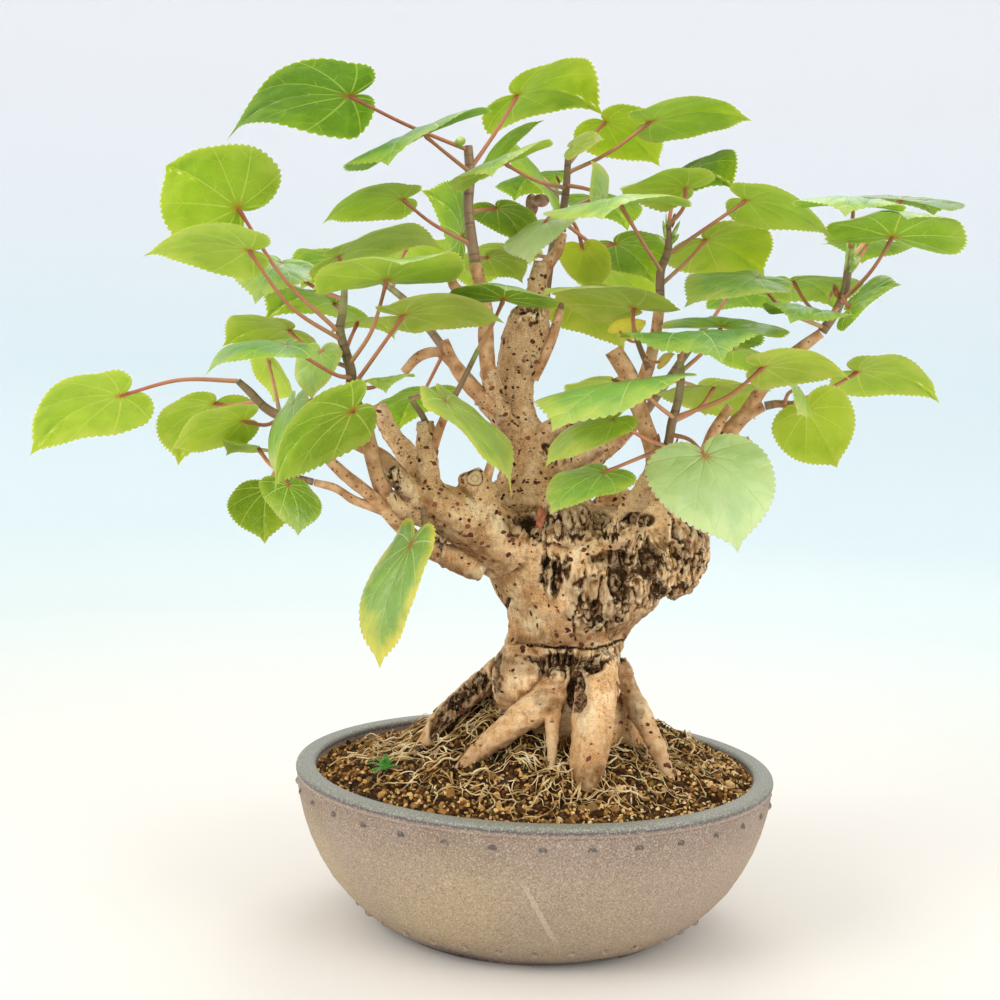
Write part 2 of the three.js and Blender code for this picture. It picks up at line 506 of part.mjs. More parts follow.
function stump(swell) {
  const rings = STUMP.map(([left, right, down, depth, halfDepth], ring) => {
    const a = sight([left, down, depth]);
    const b = sight([right, down, depth]);
    const centre = a.clone().add(b).multiplyScalar(0.5);
    const halfWidth = a.distanceTo(b) / 2;
    if (ring === STUMP.length - 1) centre.z -= swell;
    return Array.from({ length: STUMP_SIDES }, (_, corner) => {
      const angle = -corner / STUMP_SIDES * 2 * Math.PI;
      const out = new THREE.Vector3(Math.cos(angle) * halfWidth, Math.sin(angle) * halfDepth, 0);
      const bump = 1 + KNOBS * ripple(centre.clone().add(out), 11);
      return centre.clone().addScaledVector(out, bump + swell / halfWidth);
    });
  });
  return skin(rings);
}

const limbSides = (radius) => radius > 12 ? 7 : radius > 7 ? 5 : 4;

function woodBody(swell) {
  const limbs = LIMBS.map((places) => {
    return branch(places, { sides: limbSides(places[0][3]), knobs: KNOBS, swell });
  });
  const roots = ROOTS.map((places) => branch(places, { knobs: KNOBS, swell }));
  return joined([stump(swell), ...limbs, ...roots]);
}

const trunkSolid = woodBody(0);

// The pot: a turned bowl with a rounded lip, three arc-shaped feet, two rows of studs and drainage holes
const BOWL_OUTSIDE = [
  [0, FOOT_HEIGHT], [BASE_RADIUS, FOOT_HEIGHT], [88.5, 6.6], [95.6, 12], [111.2, 29], [122, 49],
  [127.7, 68], [POT_RADIUS - 0.7, 78], [POT_RADIUS, 83.6], [POT_RADIUS - 1, 85.6],
  [POT_RADIUS - 3.4, POT_HEIGHT],
];
const BOWL_INSIDE = [
  [POT_RADIUS - LIP_WIDTH, POT_HEIGHT], [119.2, 85], [118, 74], [110.4, 42], [88, 18], [84, FLOOR_HEIGHT],
  [0, FLOOR_HEIGHT],
];
const FOOT_SWEEPS = [[188, 272], [308, 392], [68, 152]];
const DRAIN_TURNS = [30, 150, 270];

function turned(profile) {
  const points = profile.map(([radius, height]) => new THREE.Vector2(radius, height));
  const bowl = new THREE.LatheGeometry(points, STUD_COUNT).rotateX(Math.PI / 2);
  return solidOf(bowl.rotateZ(radians(STUD_TURN)));
}

function foot([from, to]) {
  const shape = new THREE.Shape();
  shape.absarc(0, 0, FOOT_RADIUS, radians(from), radians(to), false);
  shape.absarc(0, 0, FOOT_RADIUS - FOOT_WIDTH, radians(to), radians(from), true);
  const options = { depth: FOOT_HEIGHT + FOOT_SINK, bevelEnabled: false, curveSegments: 6 };
  return solidOf(new THREE.ExtrudeGeometry(shape, options));
}

function wallRadius(height) {
  const upper = BOWL_OUTSIDE.findIndex(([, z]) => z > height);
  const [r0, z0] = BOWL_OUTSIDE[upper - 1];
  const [r1, z1] = BOWL_OUTSIDE[upper];
  return THREE.MathUtils.lerp(r0, r1, (height - z0) / (z1 - z0));
}

// One low stud: a four-sided cone that grows out of the middle of a facet of the wall
function stud(turn, height) {
  const knob = new THREE.ConeGeometry(STUD_SIZE, 2 * STUD_REACH, 4).rotateZ(-Math.PI / 2);
  const middle = wallRadius(height) * Math.cos(Math.PI / STUD_COUNT);
  return solidOf(knob.translate(middle, 0, height).rotateZ(turn));
}

function studRow(height) {
  return Array.from({ length: STUD_COUNT }, (_, index) => {
    const turn = (index + 0.5) / STUD_COUNT * 2 * Math.PI - Math.PI / 2;
    return stud(turn + radians(STUD_TURN), height);
  });
}

function drain(turn) {
  const hole = new THREE.CylinderGeometry(DRAIN_RADIUS, DRAIN_RADIUS, 2 * FLOOR_HEIGHT, 10);
  hole.rotateX(Math.PI / 2).translate(DRAIN_SPREAD, 0, FLOOR_HEIGHT).rotateZ(turn);
  return solidOf(hole);
}

const drains = joined(DRAIN_TURNS.map((turn) => drain(radians(turn))));
const potSolid = joined([
  turned([...BOWL_OUTSIDE, ...BOWL_INSIDE]).subtract(drains),
  ...FOOT_SWEEPS.map(foot),
  ...studRow(UPPER_STUD_HEIGHT),
  ...studRow(LOWER_STUD_HEIGHT),
]).translate([POT_SHIFT, 0, 0]);

// The soil fills the bowl and rises in a mound to the trunk, with plain holes where roots enter it
const SOIL_SIDE = [
  [83.3, FLOOR_HEIGHT + GAP], [87.4, 18.2], [109.9, 42], [117.2, 72], [118.2, SOIL_EDGE_HEIGHT],
];
const MOUND_RADII = [112, 96, 76, 56, 36, 16];
const MOUND_RADIUS = 116;
const CLOD_HEIGHT = 1.1;

function moundHeight(radius, turn) {
  const share = Math.max(0, 1 - radius / MOUND_RADIUS);
  const clods = CLOD_HEIGHT * Math.sin(3 * turn + radius / 9) * Math.min(1, share * 6);
  return SOIL_EDGE_HEIGHT + SOIL_RISE * share ** 1.6 + clods;
}

function soilBody() {
  const ring = (radius, height) => Array.from({ length: STUD_COUNT }, (_, index) => {
    const turn = index / STUD_COUNT * 2 * Math.PI + radians(STUD_TURN);
    const z = height ?? moundHeight(radius, turn);
    return new THREE.Vector3(POT_SHIFT + radius * Math.sin(turn), -radius * Math.cos(turn), z);
  });
  const side = SOIL_SIDE.map(([radius, height]) => ring(radius, height));
  const mound = MOUND_RADII.map((radius) => ring(radius));
  return skin([...side, ...mound]);
}

// A seedling fern: a short stalk in the soil and arched fronds, each a thin blade cut to its rib
const FERN_STALK = [[385, 783, -52, 0.9], [385, 775, -52, 0.8], [386, 769, -52, 0.6]];
const FROND_TIPS = [[366, 762, -58], [374, 752, -46], [398, 755, -50], [400, 768, -60]];
const FROND_PAIRS = 4;
const FROND_RIB = 0.5;
const FROND_THICKNESS = 0.7;

function frond(tip) {
  const from = sight(FERN_STALK.at(-1));
  const along = sight(tip).sub(from);
  const length = along.length();
  along.normalize();
  const side = new THREE.Vector3(0, 0, 1).cross(along).normalize();
  const up = new THREE.Vector3().crossVectors(along, side);
  const onFrond = (share, aside) => from.clone()
    .addScaledVector(along, share * length)
    .addScaledVector(side, aside)
    .addScaledVector(up, 1.2 * share * (1 - share) * length * 0.5);
  const edge = (sign) => Array.from({ length: FROND_PAIRS }, (_, pair) => {
    const share = pair / FROND_PAIRS;
    const reach = length * 0.34 * (1 - 0.7 * share);
    return [onFrond(share, sign * FROND_RIB), onFrond(share + 0.2, sign * reach)];
  }).flat();
  const right = edge(-1);
  const left = edge(1);
  const top = [...right, onFrond(1, 0), ...left];
  const count = top.length;
  const half = up.multiplyScalar(FROND_THICKNESS / 2);
  const points = [...top.map((p) => p.clone().add(half)), ...top.map((p) => p.clone().sub(half))];
  const faces = [];
  const both = (a, b, c) => faces.push([a, b, c], [a + count, c + count, b + count]);
  const tipIndex = right.length;
  const rights = (index) => index < right.length ? index : tipIndex;
  const lefts = (index) => index < left.length ? tipIndex + 1 + index : tipIndex;
  for (let pair = 0; pair < FROND_PAIRS; pair++) {
    const near = pair * 2;
    both(rights(near), rights(near + 1), rights(near + 2));
    both(lefts(near), lefts(near + 2), lefts(near + 1));
    both(rights(near), rights(near + 2), lefts(near));
    if (pair + 1 < FROND_PAIRS) both(lefts(near), rights(near + 2), lefts(near + 2));
  }
  const rightEdge = right.map((_, index) => index);
  const leftEdge = left.map((_, index) => lefts(index));
  const loop = [...rightEdge, tipIndex, ...leftEdge.reverse()];
  loop.forEach((a, index) => {
    const b = loop[(index + 1) % loop.length];
    faces.push([a, a + count, b + count], [a, b + count, b]);
  });
  return solidFrom(points, faces);
}

const fernSolid = joined([branch(FERN_STALK, { sides: 4 }), ...FROND_TIPS.map(frond)]);

const shootSolid = ({ stem, leaves }) => joined([
  branch(stem, { sides: 5 }),
  ...leaves.flatMap((one) => [petiole(one), blade(one)]),
]);

const leafGreen = new THREE.MeshStandardMaterial({ color: 0x6d9a3a, roughness: 0.5, metalness: 0 });
const bark = new THREE.MeshStandardMaterial({ color: 0xb09a7c, roughness: 0.85, metalness: 0 });
const glaze = new THREE.MeshStandardMaterial({ color: 0x6f675f, roughness: 0.45, metalness: 0 });
const earth = new THREE.MeshStandardMaterial({ color: 0x4a3626, roughness: 0.95, metalness: 0 });

const rootHoles = woodBody(GAP).add(branch(FERN_STALK, { sides: 4, swell: GAP }));
const soilSolid = soilBody().subtract(rootHoles);

const part = new THREE.Group();
part.add(meshOf("pot", potSolid, glaze));
part.add(meshOf("soil", soilSolid, earth));
part.add(meshOf("trunk", trunkSolid, bark));
part.add(meshOf("fern_sprig", fernSolid, leafGreen));
for (const [name, shoot] of Object.entries(SHOOTS)) part.add(meshOf(name, shootSolid(shoot), leafGreen));

// The origin lies under the middle of the whole
const middle = new THREE.Box3().setFromObject(part).getCenter(new THREE.Vector3());
part.children.forEach((mesh) => mesh.geometry.translate(-middle.x, -middle.y, 0));

export default part;
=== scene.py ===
import math

import bmesh
import bpy
import numpy as np
from mathutils import Matrix, Vector


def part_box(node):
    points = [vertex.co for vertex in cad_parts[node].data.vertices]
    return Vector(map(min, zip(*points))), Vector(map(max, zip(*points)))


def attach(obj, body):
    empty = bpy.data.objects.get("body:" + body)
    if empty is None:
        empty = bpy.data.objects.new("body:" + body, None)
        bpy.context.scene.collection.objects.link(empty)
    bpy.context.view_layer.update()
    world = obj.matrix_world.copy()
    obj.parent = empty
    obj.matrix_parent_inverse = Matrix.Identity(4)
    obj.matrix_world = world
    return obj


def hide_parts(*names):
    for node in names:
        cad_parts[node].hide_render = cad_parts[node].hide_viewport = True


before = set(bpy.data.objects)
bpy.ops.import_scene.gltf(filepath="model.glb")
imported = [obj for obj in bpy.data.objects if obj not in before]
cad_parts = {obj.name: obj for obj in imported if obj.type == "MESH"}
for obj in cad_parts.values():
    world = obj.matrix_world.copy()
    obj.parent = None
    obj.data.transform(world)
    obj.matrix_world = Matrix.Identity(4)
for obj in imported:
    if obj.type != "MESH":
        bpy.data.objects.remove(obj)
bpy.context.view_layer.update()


# The pot: one thrown stoneware bowl with a flat lip, a ragged dark line just under the lip's edge and a
# dry, finely speckled matt glaze. Three arc-shaped feet are luted to its base, and drain holes are cut.
MM = 0.001
pot_low, pot_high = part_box("pot")
POT_AXIS = np.array([(pot_low.x + pot_high.x) / 2, (pot_low.y + pot_high.y) / 2, 0.0])
POT_PROFILE = [
    (0, 2.6), (40, 2.6), (80, 2.6), (82.4, 2.9), (85, 4.4), (88.5, 6.6), (92, 9.2), (95.6, 12), (103.6, 20),
    (111.2, 29), (117.2, 39), (122, 49), (125.3, 58.5), (127.7, 68), (128.7, 73.4), (129.2, 77.6),
    (129.3, 79.4), (129.1, 80.4), (129.5, 81.4), (130, 82.6), (130.1, 83.7), (129.8, 84.8), (129.1, 85.6),
    (128, 86.1), (126.6, 86.3), (123.6, 86.3), (121.6, 86.2), (120.4, 85.8), (119.6, 85), (119.2, 84),
    (118.4, 78), (118, 74), (114.8, 57), (110.4, 42), (100, 29.5), (88, 18), (85.6, 15.2), (83, 14), (40, 14),
    (0, 14),
]
POT_STEPS = 192
FOOT_SECTION = [
    (68, 4), (68, 1.2), (68.5, 0.4), (69.6, 0), (77.4, 0), (78.5, 0.4), (79, 1.2), (79, 4),
]
FOOT_SWEEPS = [(188, 272), (308, 392), (68, 152)]
DRAIN_TURNS = [30, 150, 270]
DRAIN_RADIUS = 8
DRAIN_SPREAD = 42
DRAIN_DEPTH = 30


def shaped(name, points, faces=(), edges=(), **values):
    """A new object at the origin: points in metres, and any values that each point carries."""
    mesh = bpy.data.meshes.new(name)
    mesh.from_pydata(np.asarray(points, float).tolist(), list(edges), list(faces))
    for key, value in values.items():
        value = np.asarray(value, float)
        flat = value.ndim == 1
        layer = mesh.attributes.new(key, "FLOAT" if flat else "FLOAT_VECTOR", "POINT")
        layer.data.foreach_set("value" if flat else "vector", value.ravel())
    piece = bpy.data.objects.new(name, mesh)
    bpy.context.scene.collection.objects.link(piece)
    return piece


def ring_faces(rings, sides, closed_ends=True):
    """Faces between rings of points, stacked so that the faces look outward, with a lid at each end."""
    faces = []
    for ring in range(rings - 1):
        for side in range(sides):
            a = ring * sides + side
            b = ring * sides + (side + 1) % sides
            faces.append((a, b, b + sides, a + sides))
    if closed_ends:
        faces.append(tuple(reversed(range(sides))))
        faces.append(tuple(range((rings - 1) * sides, rings * sides)))
    return faces


def settled(piece):
    """The piece with its modifiers made into a plain mesh."""
    graph = bpy.context.evaluated_depsgraph_get()
    graph.update()
    mesh = bpy.data.meshes.new_from_object(
        piece.evaluated_get(graph), preserve_all_data_layers=True, depsgraph=graph
    )
    mesh.name = piece.name
    piece.modifiers.clear()
    piece.data = mesh
    return piece


def removed(piece):
    """Takes a pattern piece out again once it has served."""
    bpy.data.objects.remove(piece, do_unlink=True)


def smooth(piece, crease=35):
    """Rounded shading, with an edge kept wherever faces meet at more than the crease angle."""
    piece.data.shade_smooth()
    piece.data.set_sharp_from_angle(angle=math.radians(crease))


def linear_colour(code):
    """A finish's sRGB hex colour in the linear values that a shader takes."""
    shares = [int(code[start:start + 2], 16) / 255 for start in (1, 3, 5)]
    return [s / 12.92 if s <= 0.04045 else ((s + 0.055) / 1.055) ** 2.4 for s in shares] + [1.0]


def feed(node, inputs):
    """Sets or links a node's inputs, given in their order or by name, with colours as hex codes."""
    for socket, value in inputs.items() if isinstance(inputs, dict) else enumerate(inputs):
        if isinstance(value, bpy.types.NodeSocket):
            node.id_data.links.new(value, node.inputs[socket])
        else:
            coded = isinstance(value, str) and value.startswith("#")
            node.inputs[socket].default_value = linear_colour(value) if coded else value


def add(tree, kind, inputs=(), stops=(), out=0, **settings):
    """Adds a node with its settings and inputs, and the colour stops of a ramp, and gives one of its outputs,
    or the node itself where out is None."""
    node = tree.nodes.new(kind if "Node" in kind else "ShaderNode" + kind)
    for name, value in settings.items():
        setattr(node, name, value)
    feed(node, inputs)
    for index, (position, code) in enumerate(stops):
        if index > 1:
            node.color_ramp.elements.new(position)
        node.color_ramp.elements[min(index, len(node.color_ramp.elements) - 1)].position = position
    for element, (position, code) in zip(node.color_ramp.elements if stops else (), stops):
        element.color = linear_colour(code)
    return node if out is None else node.outputs[out]


def finish(name, roughness, shine=0.5):
    """A new named material: its node tree and its shader node."""
    material = bpy.data.materials.new(name)
    material.use_nodes = True
    surface = material.node_tree.nodes["Principled BSDF"]
    feed(surface, {"Roughness": roughness, "Specular IOR Level": shine})
    return material, material.node_tree, surface


def turned(profile, steps):
    """Points and faces of a body turned round the pot's axis, from (radius, height) in millimetres."""
    middle = [POT_AXIS + (0, 0, profile[0][1] * MM), POT_AXIS + (0, 0, profile[-1][1] * MM)]
    turns = np.arange(steps) / steps * 2 * math.pi
    circle = np.column_stack([np.sin(turns), -np.cos(turns), np.zeros(steps)])
    rings = [POT_AXIS + circle * radius * MM + (0, 0, height * MM) for radius, height in profile[1:-1]]
    points = np.vstack([*rings, middle])
    faces = ring_faces(len(rings), steps, closed_ends=False)
    first, last = len(points) - 2, len(points) - 1
    top = (len(rings) - 1) * steps
    for side in range(steps):
        after = (side + 1) % steps
        faces.append((first, after, side))
        faces.append((last, top + side, top + after))
    return points, faces


def foot_ring(sweeps, section, step=3):
    """The three feet: one rounded bar section swept along each arc, closed at both ends."""
    points, faces = [], []
    for start, end in sweeps:
        turns = np.radians(np.linspace(start, end, int((end - start) / step) + 1))
        bar = [[(r * math.cos(t), r * math.sin(t), z) for r, z in section] for t in turns]
        base = len(points)
        faces += [tuple(base + i for i in face) for face in ring_faces(len(turns), len(section))]
        points += [POT_AXIS + np.array(place) * MM for ring in bar for place in ring]
    return points, faces


def drain_cores():
    """Three round cores that cut the drainage holes through the floor."""
    points, faces = [], []
    for turn in DRAIN_TURNS:
        centre = DRAIN_SPREAD * np.array([math.cos(math.radians(turn)), math.sin(math.radians(turn))])
        around = np.radians(np.arange(0, 360, 10))
        rim = centre + DRAIN_RADIUS * np.column_stack([np.cos(around), np.sin(around)])
        base = len(points)
        faces += [tuple(base + i for i in face) for face in ring_faces(2, len(around))]
        for height in (-1, DRAIN_DEPTH):
            points += [POT_AXIS + np.array([x, y, height]) * MM for x, y in rim]
    return points, faces


def cut_or_join(piece, other, operation):
    """Cuts another body from the piece or joins it to the piece, and takes the other away."""
    cutter = piece.modifiers.new(operation, "BOOLEAN")
    cutter.operation = operation
    cutter.solver = "EXACT"
    cutter.object = other
    settled(piece)
    removed(other)


pot = shaped("pot_bowl", *turned(POT_PROFILE, POT_STEPS))
cut_or_join(pot, shaped("feet", *foot_ring(FOOT_SWEEPS, FOOT_SECTION)), "UNION")
cut_or_join(pot, shaped("cores", *drain_cores()), "DIFFERENCE")
smooth(pot)

# Dry matt stoneware glaze over iron-bearing clay: grey-green and satin where it pools on the flat lip,
# broken to a dark line under the lip's edge, pinkish tan below, warmer lower down, dark clay at the feet.
glaze, tree, surface = finish("speckled matt stoneware glaze", 0.65)
place = add(tree, "TexCoord", out="Object")
height = add(tree, "SeparateXYZ", [place], out="Z")
clouds = add(tree, "TexNoise", {"Vector": place, "Scale": 34.0, "Detail": 4.0})
ragged = add(tree, "TexNoise", {"Vector": place, "Scale": 420.0, "Detail": 3.0})
slow = add(tree, "Math", [clouds, 0.014, height], operation="MULTIPLY_ADD")
wavering = add(tree, "Math", [ragged, 0.003, slow], operation="MULTIPLY_ADD")
WALL_TOP = 0.0905
LIP_START = 0.0806
zone = add(tree, "MapRange", [wavering, 0.0085, WALL_TOP])
wall = add(tree, "ValToRGB", [zone], stops=[
    (0.0, "#3a2018"), (0.045, "#544235"), (0.09, "#867b6a"), (0.13, "#9c886b"), (0.25, "#ae9979"),
    (0.45, "#af9a7a"), (0.68, "#a99477"), (0.86, "#917d66"), (1.0, "#7e6a58"),
])
# The ash lies unevenly: pinkish grey patches a hand's width across on the olive tan ground
drifts = add(tree, "TexNoise", {"Vector": place, "Scale": 13.0, "Detail": 3.0})
pinkish = add(tree, "MapRange", [drifts, 0.42, 0.62, 0.0, 0.6])
rim_height = add(tree, "Math", [ragged, 0.0016, height], operation="MULTIPLY_ADD")
rim_zone = add(tree, "MapRange", [rim_height, LIP_START, 0.0880])
lip = add(tree, "ValToRGB", [rim_zone], stops=[
    (0.0, "#8c7563"), (0.1, "#7a675b"), (0.2, "#a08c78"), (0.34, "#927f70"), (0.44, "#6a5e5a"),
    (0.52, "#50474a"), (0.62, "#6b6a62"), (0.74, "#838477"), (1.0, "#83867a"),
])
on_lip = add(tree, "MapRange", [rim_height, LIP_START, 0.0812])
# Iron and ash specks of about 0.8 mm are drawn 1.1 mm across, the finest that the picture holds
specks = add(tree, "TexNoise", {"Vector": place, "Scale": 1100.0, "Detail": 2.0})
pale = add(tree, "MapRange", [specks, 0.54, 0.68, 0.0, 0.5])
dark = add(tree, "MapRange", [specks, 0.46, 0.32, 0.0, 0.6])
# One long faint scrape where the pot was rubbed, in the plane through its ends and its middle
SCRAPE_MIDDLE = POT_AXIS + (0.0062, -0.117, 0.0395)
SCRAPE_PLANE = (0.85, 0.17, 0.5)
SCRAPE_REACH = 0.028
from_middle = add(tree, "VectorMath", [place, tuple(SCRAPE_MIDDLE)], operation="SUBTRACT")
apart = add(tree, "VectorMath", [from_middle, SCRAPE_PLANE], operation="DOT_PRODUCT", out="Value")
wobbly = add(tree, "Math", [ragged, 0.0024, apart], operation="MULTIPLY_ADD")
off = add(tree, "Math", [wobbly, 0.0012, 0.0012], operation="COMPARE")
reach = add(tree, "VectorMath", [from_middle], operation="LENGTH", out="Value")
fading = add(tree, "MapRange", [reach, SCRAPE_REACH, SCRAPE_REACH * 0.5, 0.0, 0.3])
rubbed = add(tree, "Math", [off, fading], operation="MULTIPLY")
coat = wall
for share, over in (
    (pinkish, "#9b867c"), (on_lip, lip), (pale, "#d2c2ac"), (dark, "#6a5445"), (rubbed, "#dccbb2"),
):
    coat = add(tree, "Mix", {0: share, 6: coat, 7: over}, data_type="RGBA", out=2)
satin = add(tree, "MapRange", {0: on_lip, 3: 0.68, 4: 0.5})
grain = add(tree, "Bump", {"Strength": 0.25, "Distance": 0.0004, "Height": specks})
feed(surface, {"Base Color": coat, "Roughness": satin, "Normal": grain})
pot.data.materials.clear()
pot.data.materials.append(glaze)
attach(pot, "root")
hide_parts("pot")


# The studs: small clay points pressed on round the wall, one row under the lip and one just above the
# feet, each with dark iron at its tip and glaze pooled pale below it; the pale below is also a painted
# highlight.
STUD_COUNT = 34
STUD_TURN = -2.7
STUD_STEPS = 12
STUD_PROFILE = [(0, -2.5), (3.0, -1.6), (2.8, -0.2), (2.1, 0.6), (1.3, 1.2), (0.7, 1.6), (0, 1.7)]
# Each row's radius and height in millimetres, and how far its studs point downward
STUD_ROWS = {"upper": (128.5, 74.5, 0.16), "lower": (96.2, 12.8, 1.1)}


def new_tree(name, **inputs):
    """A node tree for a modifier, with inputs by name and kind. Gives the tree, its inputs and its end node."""
    tree = bpy.data.node_groups.new(name, "GeometryNodeTree")
    for label, kind in inputs.items():
        tree.interface.new_socket(label, in_out="INPUT", socket_type="NodeSocket" + kind)
    tree.interface.new_socket("Geometry", in_out="OUTPUT", socket_type="NodeSocketGeometry")
    return tree, tree.nodes.new("NodeGroupInput").outputs, tree.nodes.new("NodeGroupOutput")


def grown(piece, tree, **values):
    """The piece as the node tree makes it with these values, as a plain mesh."""
    modifier = piece.modifiers.new(tree.name, "NODES")
    modifier.node_group = tree
    for socket in tree.interface.items_tree:
        if socket.in_out == "INPUT" and socket.name in values:
            modifier[socket.identifier] = values[socket.name]
    return settled(piece)


stud_ring, given, made = new_tree(
    "ring of studs", Geometry="Geometry", Stud="Object", Count="Int", Radius="Float", Place="Vector",
    Slope="Float", Turn="Rotation", Glaze="Material",
)
circle = add(stud_ring, "GeometryNodeMeshCircle", {"Vertices": given["Count"], "Radius": given["Radius"]})
outward = add(stud_ring, "GeometryNodeInputPosition")
direction = add(stud_ring, "VectorMath", [outward], operation="NORMALIZE")
fall = add(stud_ring, "CombineXYZ", {"Z": given["Slope"]})
facing = add(stud_ring, "VectorMath", [direction, fall], operation="SUBTRACT")
aim = add(stud_ring, "FunctionNodeAlignRotationToVector", {"Vector": facing}, axis="Z")
one = add(stud_ring, "GeometryNodeObjectInfo", {"Object": given["Stud"]}, out="Geometry")
all_studs = add(stud_ring, "GeometryNodeInstanceOnPoints", {
    "Points": circle, "Instance": one, "Rotation": aim,
})
real = add(stud_ring, "GeometryNodeRealizeInstances", [all_studs])
placed = add(stud_ring, "GeometryNodeTransform", {
    "Geometry": real, "Translation": given["Place"], "Rotation": given["Turn"],
})
painted = add(stud_ring, "GeometryNodeSetMaterial", {"Geometry": placed, "Material": given["Glaze"]})
feed(made, [painted])

stud_points, stud_faces = turned(STUD_PROFILE, STUD_STEPS)
stud = shaped("stud", stud_points - POT_AXIS, stud_faces)

# Thin glaze on a pressed stud: dark iron on the side that faces up, ash grey where it ran and pooled below;
# the pale below is also a painted highlight
stud_glaze, tree, surface = finish("stud glaze, dark above and ashen below", 0.6)
facing_up = add(tree, "SeparateXYZ", [add(tree, "NewGeometry", out="Normal")], out="Z")
place = add(tree, "TexCoord", out="Object")
specks = add(tree, "TexNoise", {"Vector": place, "Scale": 500.0, "Detail": 3.0})
# The lower side is drawn pale: pooled glaze, and a painted highlight
tilt = add(tree, "Math", [specks, 2.2, facing_up], operation="MULTIPLY_ADD")
shade = add(tree, "MapRange", [tilt, 0.4, 1.9])
colour = add(tree, "ValToRGB", [shade], stops=[
    (0.0, "#a5917b"), (0.3, "#988470"), (0.5, "#74665b"), (0.72, "#4b413d"), (1.0, "#6f6358"),
])
feed(surface, {"Base Color": colour})

for row, (radius, level_height, slope) in STUD_ROWS.items():
    studs = shaped(f"pot_studs_{row}", [POT_AXIS])
    grown(
        studs, stud_ring, Stud=stud, Count=STUD_COUNT, Radius=radius * MM,
        Place=tuple(POT_AXIS + (0, 0, level_height * MM)), Slope=slope,
        Turn=(0.0, 0.0, math.radians(180 / STUD_COUNT - 90 + STUD_TURN)), Glaze=stud_glaze,
    )
    smooth(studs, 60)
    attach(studs, "root")
removed(stud)


# The trunk: one woody body, a squat stump that stands on spreading roots and carries cut stubs, knobs and
# limbs. Its places were read off the picture: [right, down, depth], the first two in thousandths of the
# picture's side, the depth in millimetres behind the pot's axis, and then the radius in millimetres.
FOCAL = 1600
PICTURE_MIDDLE = 500
EYE = np.array([0.0, -867.0, 299.0])
EYE_YAW, EYE_PITCH, EYE_ROLL = np.radians([-1.72, 4.57, 1.96])
# The pot stands a little to the left of the point that the places are read from
POT_SHIFT = np.array([-0.0023, 0.0, 0.0])
AXIS = POT_AXIS - POT_SHIFT
ahead = np.array([
    math.sin(EYE_YAW) * math.cos(EYE_PITCH), math.cos(EYE_YAW) * math.cos(EYE_PITCH), -math.sin(EYE_PITCH),
])
level = np.array([math.cos(EYE_YAW), -math.sin(EYE_YAW), 0.0])
upright = np.cross(level, ahead)
across = level * math.cos(EYE_ROLL) + upright * math.sin(EYE_ROLL)
above = upright * math.cos(EYE_ROLL) - level * math.sin(EYE_ROLL)

